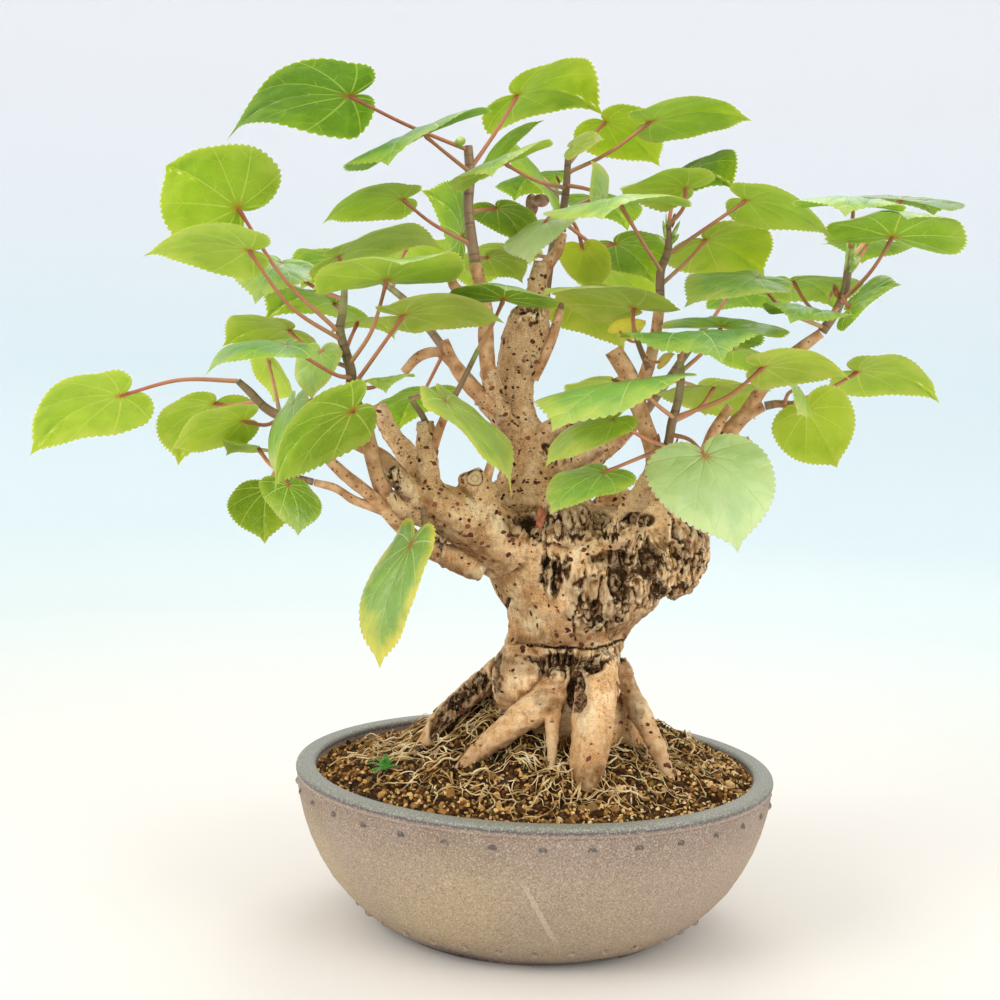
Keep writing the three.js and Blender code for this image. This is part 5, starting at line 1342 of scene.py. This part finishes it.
def blade_pattern():
    """One flat blade of unit length with its midrib along X: a closed double sheet that shares its rim."""
    spoke_turns = np.arange(BLADE_SPOKES) * 360 / BLADE_SPOKES - 180
    steps = len(TOOTH_SHAPE)
    rim_turns = np.arange(BLADE_SPOKES * steps) * 360 / BLADE_SPOKES / steps - 180

    def spot(turn, share, tooth=0.0):
        bent = turn - share * RIB_BEND * np.sin(np.radians(turn))
        rim = turn - RIB_BEND * np.sin(np.radians(turn))
        reach = np.interp(abs(rim), HEART[:, 0], HEART[:, 1]) * share + tooth
        return reach * math.cos(math.radians(bent)), reach * math.sin(math.radians(bent))

    def ribs(turn, share):
        off = abs((turn + RIB_APART / 2) % RIB_APART - RIB_APART / 2)
        x, y = spot(turn, share)
        reach = math.hypot(x, y)
        return reach * math.sin(math.radians(off)), reach * math.cos(math.radians(off)), off / (RIB_APART / 2)

    rows = [(0.0, 0.0, 0.0, 0.0, 0.0, 0.0)]
    for share in BLADE_RINGS:
        rows += [(*spot(turn, share), *ribs(turn, share), share) for turn in spoke_turns]
    inner = len(rows)
    for index, turn in enumerate(rim_turns):
        tooth = TOOTH * TOOTH_SHAPE[index % steps]
        quiet = min(1.0, abs(turn) / 8, (180 - abs(turn)) / 12)
        rows.append((*spot(turn, 1.0, tooth * quiet), *ribs(turn, 1.0), 1.0))
    rows = np.array(rows)
    rim = len(rim_turns)
    last_ring = 1 + (len(BLADE_RINGS) - 1) * BLADE_SPOKES
    faces = []
    for side in range(BLADE_SPOKES):
        after = (side + 1) % BLADE_SPOKES
        faces.append((0, 1 + side, 1 + after))
        for ring in range(len(BLADE_RINGS) - 1):
            a, b = 1 + ring * BLADE_SPOKES + side, 1 + ring * BLADE_SPOKES + after
            faces.append((a, a + BLADE_SPOKES, b + BLADE_SPOKES, b))
        a, b = last_ring + side, last_ring + after
        edge = [inner + (side * steps + step) % rim for step in range(steps + 1)]
        half = steps // 2
        faces += [(a, edge[step], edge[step + 1]) for step in range(half)]
        faces.append((a, edge[half], b))
        faces += [(b, edge[step], edge[step + 1]) for step in range(half, steps)]
    count = len(rows)
    lower = rows[:inner]
    pillow = 0.03 * rows[:, 4] * rows[:, 5] * (1.2 - rows[:, 5]) * np.minimum(1, rows[:, 3] * 4)
    heights = pillow + BLADE_THICKNESS / 2 * np.append(np.ones(inner), np.zeros(rim))
    lower_heights = pillow[:inner] - BLADE_THICKNESS / 2
    points = np.vstack([
        np.column_stack([rows[:, :2], heights]), np.column_stack([lower[:, :2], lower_heights]),
    ])
    faces += [tuple(index if index >= inner else index + count for index in reversed(face)) for face in faces]
    both = np.vstack([rows, lower])
    angle = np.arctan2(both[:, 1], both[:, 0])
    far = both[:, 0] ** 2 + both[:, 1] ** 2
    along = both[:, 0]
    return shaped(
        "blade_pattern", points, faces,
        from_rib=both[:, 2], along_rib=both[:, 3], share=both[:, 5],
        side_rib=(both[:, 3] - 0.7 * both[:, 2] - 1.1 * both[:, 2] ** 2) / SIDE_RIBS_APART,
        under=np.append(np.zeros(count), np.ones(inner)),
        spread=np.column_stack([both[:, 0], both[:, 1], np.zeros(len(both))]),
        bow_of=np.column_stack([
            np.where(along > 0, 0.4 * along * (1 - along), 0.15 * along), -both[:, 1] ** 2,
            0.25 * (np.maximum(along, 0) - np.maximum(along, 0) ** 3),
        ]),
        wave_of=np.column_stack([
            far * np.sin(3 * angle), far * (1 - np.cos(4 * angle)) * 0.6, far * np.sin(7 * angle),
        ]),
    )


leaf_growth, given, made = new_tree(
    "leaves on their petioles", Geometry="Geometry", Blade="Object", Upper="Material", Lower="Material",
)
read = {
    key: add(leaf_growth, "GeometryNodeInputNamedAttribute", {"Name": key}, data_type=kind)
    for kind, keys in (("FLOAT_VECTOR", "turn size bow_of bow wave_of wave upward"), ("FLOAT", "under"))
    for key in keys.split()
}
blade_shape = add(leaf_growth, "GeometryNodeObjectInfo", {"Object": given["Blade"]}, out="Geometry")
turn = add(leaf_growth, "FunctionNodeEulerToRotation", [read["turn"]])
blades = add(leaf_growth, "GeometryNodeInstanceOnPoints", {
    "Points": given["Geometry"], "Instance": blade_shape, "Rotation": turn, "Scale": read["size"],
})
real = add(leaf_growth, "GeometryNodeRealizeInstances", [blades])
bow = add(leaf_growth, "VectorMath", [read["bow_of"], read["bow"]], operation="DOT_PRODUCT", out="Value")
wave = add(leaf_growth, "VectorMath", [read["wave_of"], read["wave"]], operation="DOT_PRODUCT", out="Value")
lift = add(leaf_growth, "Math", [bow, wave], operation="ADD")
offset = add(leaf_growth, "VectorMath", {0: read["upward"], "Scale": lift}, operation="SCALE")
bowed = add(leaf_growth, "GeometryNodeSetPosition", {"Geometry": real, "Offset": offset})
painted = add(leaf_growth, "GeometryNodeSetMaterial", {"Geometry": bowed, "Material": given["Upper"]})
is_under = add(leaf_growth, "FunctionNodeCompare", [read["under"], 0.1], operation="GREATER_THAN")
both_sides = add(leaf_growth, "GeometryNodeSetMaterial", {
    "Geometry": painted, "Selection": is_under, "Material": given["Lower"],
})
feed(made, [both_sides])


def blade_frame(one):
    """The foot of a blade, its midrib, cross and upward directions, and its length, all in metres."""
    foot, tip = sight([one["foot"], one["tip"]])
    midrib = tip - foot
    length = np.linalg.norm(midrib)
    midrib /= length
    to_eye = AXIS + EYE * MM - foot
    to_eye /= np.linalg.norm(to_eye)
    if one["axis"] is None:
        facing = to_eye - midrib * (to_eye @ midrib)
        facing /= np.linalg.norm(facing)
        turned_up = np.cross(midrib, facing)
        turned_up *= -1 if turned_up[2] < 0 else 1
        upward = facing * one["face"] + turned_up * math.sqrt(1 - one["face"] ** 2)
    else:
        slope = math.radians(one["axis"])
        cross = across * math.cos(slope) - above * math.sin(slope)
        cross = cross - to_eye * (cross @ midrib) / (to_eye @ midrib)
        cross /= np.linalg.norm(cross)
        upward = np.cross(cross, midrib)
        upward *= -1 if upward[2] < 0 else 1
    return foot, midrib, np.cross(upward, midrib), upward, length


# Skins of the blades, as [upper side, under side, rim]: most are fresh green, some older. The dark skins
# also paint the shade on leaves in shadow, and the pale skin paints the sheen of leaves that face the eye
LEAF_SKINS = {
    "green": ("#6a943a", "#829e2c", "#9eae48"), "fresh": ("#7ca448", "#98af3a", "#afbb52"),
    "deep": ("#528031", "#6c8b23", "#8ba238"), "lime": ("#94ab4c", "#9eb13a", "#b7bd50"),
    "dark": ("#42681f", "#54701c", "#74882c"), "yellow": ("#e6ca3a", "#e0c63c", "#e2c23a"),
    "orange": ("#d6963a", "#ce9c40", "#c48532"), "pale": ("#9eba7c", "#9eb65f", "#afc582"),
    "hanging": ("#789743", "#829f3c", "#c9bb4a"),
}
# The shoots and numbers of the leaves that are not drawn by lot; each was given the skin that matches its
# tone in its light and shade, so that the choice also paints light and shade
ODD_LEAVES = {
    "lime": {
        "top_centre": [0, 2, 4], "top_left_leader": [2], "upper_right": [1], "right_centre": [0, 3],
        "upper_left": [5], "centre": [0], "trunk_twig": [0], "stub_shoot": [0],
    },
    "fresh": {
        "far_left": [0, 1, 2], "upper_left": [0, 1, 3, 4, 8, 10, 13], "low_right": [0, 1], "back_right": [3],
        "right_centre": [2, 7], "top_left_leader": [3], "back_left": [2], "far_right": [7],
        "upper_right": [4], "top_centre": [7],
    },
    "deep": {
        "top_left_leader": [0, 1, 4, 7], "back_top": [1], "back_right": [0], "low_left": [2],
        "centre_shoot": [0], "upper_left": [7], "far_right": [1, 5], "back_left": [0],
    },
    "dark": {
        "top_left_leader": [5], "low_left": [0, 1], "back_top": [0], "far_right": [2, 4], "upper_right": [2],
    },
    "yellow": {"centre": [1]},
    "orange": {"centre": [2]},
    "pale": {"right_centre": [5], "top_centre": [3]},
    "hanging": {"hanging_leaf": [0]},
}
# How far the rim of a blade waves, in each of three ways, as shares of its length
WAVES = (0.06, 0.045, 0.022)
blade = blade_pattern()


def blade_skin(name, tint, roughness, shine, rib_code, relief):
    """The skin of one side of a blade, with its ribs sunken or raised."""
    material, tree, surface = finish(name, roughness, shine)
    marks = {
        key: add(tree, "Attribute", attribute_name=key, out=output) for key, output in (
            (tint, "Color"), ("rim_tint", "Color"), ("share", "Fac"), ("along_rib", "Fac"),
            ("from_rib", "Fac"), ("side_rib", "Fac"), ("spread", "Vector"),
        )
    }
    place = add(tree, "TexCoord", out="Object")
    mottle = add(tree, "TexNoise", {"Vector": place, "Scale": 70.0, "Detail": 4.0})
    shade = add(tree, "MapRange", [mottle, 0.3, 0.7, 0.84, 1.14])
    tinted = add(tree, "VectorMath", {0: marks[tint], "Scale": shade}, operation="SCALE")
    # The rim and the ground between its ribs turn first as a blade ages
    worn = add(tree, "Math", [mottle, 0.9, marks["share"]], operation="MULTIPLY_ADD")
    turned_share = add(tree, "MapRange", [worn, 1.16, 1.5])
    rimmed = add(tree, "Mix", {0: turned_share, 6: tinted, 7: marks["rim_tint"]}, data_type="RGBA", out=2)
    along = marks["along_rib"]
    rib_width = add(tree, "MapRange", [along, 0.0, 0.8, 0.012, 0.0045])
    rib_ratio = add(tree, "Math", [marks["from_rib"], rib_width], operation="DIVIDE")
    rib = add(tree, "MapRange", [rib_ratio, 1.0, 0.4])
    phase = add(tree, "Math", [marks["side_rib"], 1.0], operation="PINGPONG")
    # Side ribs are drawn from a rib outward and fade before they meet those of the next
    slant = add(tree, "Math", [marks["from_rib"], along], operation="DIVIDE")
    faded = add(tree, "MapRange", [slant, 0.3, 0.12, 0.0, 0.55])
    side_line = add(tree, "MapRange", [phase, 0.07, 0.015])
    side_rib = add(tree, "Math", [side_line, faded], operation="MULTIPLY")
    spread = add(tree, "VectorMath", {0: marks["spread"], "Scale": 22.0}, operation="SCALE")
    cells = add(tree, "TexVoronoi", {"Vector": spread, "Scale": 1.0}, feature="DISTANCE_TO_EDGE")
    net = add(tree, "MapRange", [cells, 0.09, 0.0, 0.0, 0.16])
    fine_ribs = add(tree, "Math", [side_rib, net], operation="MAXIMUM")
    all_ribs = add(tree, "Math", [rib, fine_ribs], operation="MAXIMUM")
    redness = add(tree, "MapRange", [along, 0.03, 0.12])
    rib_tint = add(tree, "Mix", {0: redness, 6: "#a8502a", 7: rib_code}, data_type="RGBA", out=2)
    rib_share = add(tree, "Math", [all_ribs, 0.75], operation="MULTIPLY")
    veined = add(tree, "Mix", {0: rib_share, 6: rimmed, 7: rib_tint}, data_type="RGBA", out=2)
    quilt = add(tree, "Math", [phase, 0.5], operation="POWER")
    hollow = add(tree, "Math", [rib, -1.2, quilt], operation="MULTIPLY_ADD")
    quilting = add(tree, "Bump", {"Strength": relief, "Distance": 0.0007, "Height": hollow})
    feed(surface, {
        "Base Color": veined, "Normal": quilting, "Subsurface Weight": 0.5, "Subsurface Scale": 0.003,
        "Subsurface Radius": (0.7, 1.0, 0.15),
    })
    return material


# A hibiscus blade is thin, lets light through and is softly glossy above, with pale ribs that are sunken;
# below it is duller and more yellow, and its ribs stand out. The ribs are red-brown just at the foot.
upper_skin = blade_skin("glossy upper side of a leaf", "upper_tint", 0.42, 0.5, "#c4d487", 0.6)
lower_skin = blade_skin("dull under side of a leaf", "under_tint", 0.6, 0.2, "#c3c865", -0.6)

# Petioles: smooth and salmon red-brown, darker at the swelling under the blade. Young stems are green, and
# the older stems are brown with rings where leaves have fallen.
petiole_skin, tree, surface = finish("smooth red-brown petiole", 0.5)
place = add(tree, "TexCoord", out="Object")
mottle = add(tree, "TexNoise", {"Vector": place, "Scale": 150.0, "Detail": 2.0})
young = add(tree, "Attribute", attribute_name="young", out="Fac")
drift = add(tree, "Math", [mottle, 0.3, young], operation="MULTIPLY_ADD")
shade = add(tree, "MapRange", [drift, 0.1, 1.2])
colour = add(tree, "ValToRGB", [shade], stops=[
    (0.0, "#a38262"), (0.16, "#8a6a4b"), (0.32, "#7b6940"), (0.45, "#9aa050"), (0.6, "#c58e66"),
    (0.82, "#b9714c"), (1.0, "#9a4a2c"),
])
walk = add(tree, "Attribute", attribute_name="walk", out="Fac")
scars = add(tree, "TexNoise", {"W": walk, "Scale": 380.0, "Detail": 2.0}, noise_dimensions="1D")
scarred = add(tree, "MapRange", [scars, 0.58, 0.66, 0.0, 0.5])
woody = add(tree, "MapRange", [young, 0.42, 0.3])
ringed = add(tree, "Math", [scarred, woody], operation="MULTIPLY")
barked = add(tree, "Mix", {0: ringed, 6: colour, 7: "#4b3324"}, data_type="RGBA", out=2)
rings = add(tree, "Bump", {"Strength": 0.7, "Distance": 0.0006, "Height": ringed})
feed(surface, {"Base Color": barked, "Normal": rings})
# How green each stem is from its foot to its end: 0 is old wood, 0.45 is this year's growth
STEM_AGES = {
    "top_left_leader": (0.0, 0.04), "top_centre": (0.1, 0.24), "upper_right": (0.04, 0.3),
    "far_right": (0.1, 0.42), "low_right": (0.0, 0.2), "upper_left": (0.1, 0.4), "far_left": (0.0, 0.3),
}
PETIOLE_SHARE = 0.88

leaf_dice = np.random.default_rng(21)
for shoot_name, (stem, leaves) in SHOOTS.items():
    feet, turns, sizes, bows, waves, upwards, tints = [], [], [], [], [], [], []
    stem_line = stretch(stem)
    stalks, ages = [stem_line], [np.linspace(*STEM_AGES.get(shoot_name, (0.05, 0.4)), len(stem_line))]
    for number, one in enumerate(leaves):
        foot, midrib, cross, upward, length = blade_frame(one)
        turn = Matrix(np.column_stack([midrib, cross, upward]).tolist()).to_euler()
        drawn = leaf_dice.choice(["green", "green", "fresh", "deep"])
        mood = next((mood for mood, ones in ODD_LEAVES.items() if number in ones.get(shoot_name, ())), drawn)
        luck = leaf_dice.normal(size=6)
        feet.append(foot)
        turns.append(tuple(turn))
        sizes.append((length, length * one["wide"], length))
        bows.append((length, length * one["curl"] * one["wide"] ** 2, length * max(0, 0.3 + 0.3 * luck[0])))
        waves.append(length * luck[1:4] * WAVES)
        upwards.append(upward)
        tints.append([np.array(linear_colour(code)[:3]) * (1 + 0.07 * luck[4]) for code in LEAF_SKINS[mood]])
        thick = one["thick"] * PETIOLE_SHARE
        stalk = stretch([[*one["joint"], thick], [*one["bend"], thick], [*one["foot"], thick]], 2)
        walked = np.linspace(0, 1, len(stalk))
        stalk[:, 3] *= 1.15 - 0.35 * walked + 0.45 * np.exp(-((1 - walked) * len(stalk) / 2.5) ** 2)
        stalk[-1, 3] *= 0.45
        stalks.append(stalk)
        ages.append(0.62 + 0.3 * walked + 0.06 * luck[0])
    blades = shaped(
        f"{shoot_name}_blades", feet, turn=turns, size=sizes, bow=bows, wave=waves, upward=upwards,
        upper_tint=[t[0] for t in tints], under_tint=[t[1] for t in tints], rim_tint=[t[2] for t in tints],
    )
    grown(blades, leaf_growth, Blade=blade, Upper=upper_skin, Lower=lower_skin)
    smooth(blades, 60)
    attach(blades, "root")
    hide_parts(shoot_name)
    walks = np.concatenate([np.linalg.norm(line[:, :3] - line[0, :3], axis=1) for line in stalks])
    stems = grown(
        strands(f"{shoot_name}_stems", stalks, young=np.concatenate(ages), walk=walks), sweep, Sides=8,
        Bark=petiole_skin,
    )
    smooth(stems, 60)
    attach(stems, "root")
removed(blade)


# The small growth: a round bud, the stipules at the growing tips, and dry leaves that still cling to the
# stems. Each is given by its foot and tip, read off the picture, then its width, thickness and fold.
SMALL_GROWTH = {
    "green_buds": ("fresh green bud scales", ("#86a844", "#b4c95f", "#d9e09a"), [
        ([461, 146, -16], [460, 136, -17], 5.4, 4.6, 0.0), ([463, 147, -16], [454, 141, -18], 3.2, 1.4, 0.5),
        ([667, 246, -21], [655, 234, -22], 2.6, 0.6, 0.8), ([668, 246, -21], [679, 234, -22], 2.8, 0.6, 0.8),
        ([667, 245, -21], [663, 220, -22], 2.0, 0.6, 0.8), ([668, 245, -21], [680, 221, -20], 2.2, 0.6, 0.8),
        ([667, 240, -21], [666, 213, -18], 1.0, 0.9, 0.0), ([846, 276, -11], [861, 255, -13], 3.6, 0.6, 0.7),
        ([846, 276, -11], [856, 241, -12], 3.2, 0.6, 0.7), ([845, 276, -11], [849, 236, -10], 1.8, 1.4, 0.2),
    ]),
    "brown_stipules": ("thin red-brown stipule", ("#6b3422", "#9c5433", "#c07a4c"), [
        ([672, 228, -21], [675, 213, -21], 2.0, 0.6, 0.7), ([838, 299, -12], [834, 284, -14], 3.0, 0.6, 0.8),
        ([660, 444, -71], [658, 433, -73], 1.3, 0.7, 0.3), ([676, 444, -70], [678, 437, -71], 1.0, 0.6, 0.3),
        ([560, 184, 13], [556, 175, 11], 1.4, 0.8, 0.4), ([465, 189, -17], [461, 184, -19], 2.2, 1.6, 0.2),
        ([540, 530, -58], [541, 505, -60], 4.0, 0.6, 0.9), ([536, 528, -57], [546, 510, -60], 3.4, 0.6, 0.8),
    ]),
    "dry_leaves": ("dry curled leaf", ("#8a6248", "#b4876a", "#cfa487"), [
        ([533, 217, 20], [531, 193, 16], 7.0, 0.5, 0.9), ([531, 200, 16], [549, 201, 18], 7.0, 0.5, -0.6),
        ([744, 458, -50], [722, 441, -54], 9.0, 0.5, 0.9), ([742, 455, -52], [748, 436, -54], 5.0, 0.5, -0.7),
        ([829, 300, -12], [833, 289, -13], 1.6, 0.5, 0.4),
    ]),
}
SLIVER_SIDES = 12
SLIVER_ROWS = 10

turns = np.arange(SLIVER_SIDES) / SLIVER_SIDES * 2 * math.pi
for name, (look, stops, slivers) in SMALL_GROWTH.items():
    sliver_points, sliver_faces = [], []
    for foot, tip, wide, thick, fold in slivers:
        start, end = sight([foot, tip])
        along = (end - start) / np.linalg.norm(end - start)
        facing = AXIS + EYE * MM - start
        facing -= along * (facing @ along)
        facing /= np.linalg.norm(facing)
        cross = np.cross(facing, along)
        rows = []
        for share in np.linspace(0, 1, SLIVER_ROWS):
            fullness = max(0.08, (4 * share * (1 - share)) ** 0.6)
            out = np.cos(turns) * wide / 2 * fullness
            up = np.sin(turns) * thick / 2 * fullness - np.abs(out) * fold
            up += 0.25 * wide * math.sin(2.6 * share)
            rows.append(start + (end - start) * share + (np.outer(out, cross) + np.outer(up, facing)) * MM)
        base = len(sliver_points) * SLIVER_SIDES
        sliver_points += rows
        sliver_faces += [tuple(base + i for i in face) for face in ring_faces(SLIVER_ROWS, SLIVER_SIDES)]
    skin = varied(look, 0.6, 0.5, list(zip((0.35, 0.5, 0.65), stops)), scale=260.0, detail=4.0)
    growth = shaped(name, np.vstack(sliver_points), sliver_faces)
    smooth(growth, 60)
    growth.data.materials.append(skin)
    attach(growth, "root")


# The place: a pale floor that curves up to a pale wall, plain soft lights, and the camera, which stands at
# the point that the places are read from. The paint of the floor and wall is graded in tint and brightness,
# from the middle outward and upward, as painted light.
SENSOR_WIDTH = 36
FLOOR_RADIUS = 2.2
FLOOR_SIDES = 72
WALL_BEND = 1.0
WALL_HEIGHT = 3.2

camera = bpy.data.objects.new("camera", bpy.data.cameras.new("camera"))
bpy.context.scene.collection.objects.link(camera)
bpy.context.scene.camera = camera
camera.matrix_world = Matrix([
    *np.column_stack([across, above, -ahead, AXIS + EYE * MM]).tolist(), [0, 0, 0, 1],
])
camera.data.sensor_width = SENSOR_WIDTH
camera.data.lens = SENSOR_WIDTH * FOCAL / (2 * PICTURE_MIDDLE)
camera.data.clip_start = 0.01

bend = np.radians(np.arange(0, 91, 6))
floor_profile = [(0.5, 0), (1.2, 0), *[
    (FLOOR_RADIUS + WALL_BEND * math.sin(t), WALL_BEND * (1 - math.cos(t))) for t in bend
], (FLOOR_RADIUS + WALL_BEND, WALL_HEIGHT)]
turns = np.radians(np.arange(0, 360, 360 // FLOOR_SIDES))
floor_points = [AXIS + (r * math.cos(t), r * math.sin(t), z) for r, z in floor_profile for t in turns]
floor_faces = ring_faces(len(floor_profile), FLOOR_SIDES, closed_ends=False)
floor_faces.append(tuple(reversed(range(FLOOR_SIDES))))
floor = shaped("floor", floor_points, floor_faces)
floor.data.shade_smooth()
plain, tree, surface = finish("plain pale floor", 0.9)
place = add(tree, "TexCoord", out="Object")
rise = add(tree, "SeparateXYZ", [place], out="Z")
reach = add(tree, "VectorMath", [place], operation="LENGTH", out="Value")
reach_share = add(tree, "MapRange", [reach, 0.0, FLOOR_RADIUS + WALL_BEND])
# Painted light: the floor's tint and brightness change from the middle outward
floor_tint_and_painted_light = add(tree, "ValToRGB", [reach_share], stops=[
    (0.1, "#e8e2d8"), (0.2, "#e0e0d6"), (0.38, "#d9e3de"), (0.5, "#dfeae6"), (0.7, "#e7f4f4"),
])
rise_share = add(tree, "MapRange", [rise, 0.0, 1.6])
# Painted light: the wall is painted lighter higher up, where less light falls
wall_tint_and_painted_light = add(tree, "ValToRGB", [rise_share], stops=[(0.2, "#e1eef0"), (0.4, "#e9ecee"), (0.66, "#f0edf0")])
on_wall = add(tree, "MapRange", [rise, 0.0, 0.3])
feed(surface, {
    "Base Color": add(tree, "Mix", {0: on_wall, 6: floor_tint_and_painted_light, 7: wall_tint_and_painted_light}, data_type="RGBA", out=2),
})
floor.data.materials.append(plain)

world = bpy.data.worlds.new("soft light")
bpy.context.scene.world = world
world.use_nodes = True
feed(world.node_tree.nodes["Background"], {"Color": "#f6f8fb", "Strength": 1.08})


def soft_light(name, place, aim, side, power):
    """A large square light that faces the aim."""
    light = bpy.data.lights.new(name, "AREA")
    light.shape = "SQUARE"
    light.size = side
    light.energy = power
    lamp = bpy.data.objects.new(name, light)
    lamp.location = place
    lamp.rotation_euler = (Vector(aim) - Vector(place)).to_track_quat("-Z", "Y").to_euler()
    bpy.context.scene.collection.objects.link(lamp)


soft_light("key", (-1.35, -1.15, 1.1), (0.0, 0.0, 0.2), 1.0, 21)
soft_light("fill", (1.4, -1.0, 0.8), (0.0, 0.0, 0.2), 1.2, 14)
soft_light("back", (0.2, 1.3, 1.6), (0.0, 0.0, 0.3), 1.0, 9)
bpy.context.scene.view_settings.view_transform = "Standard"
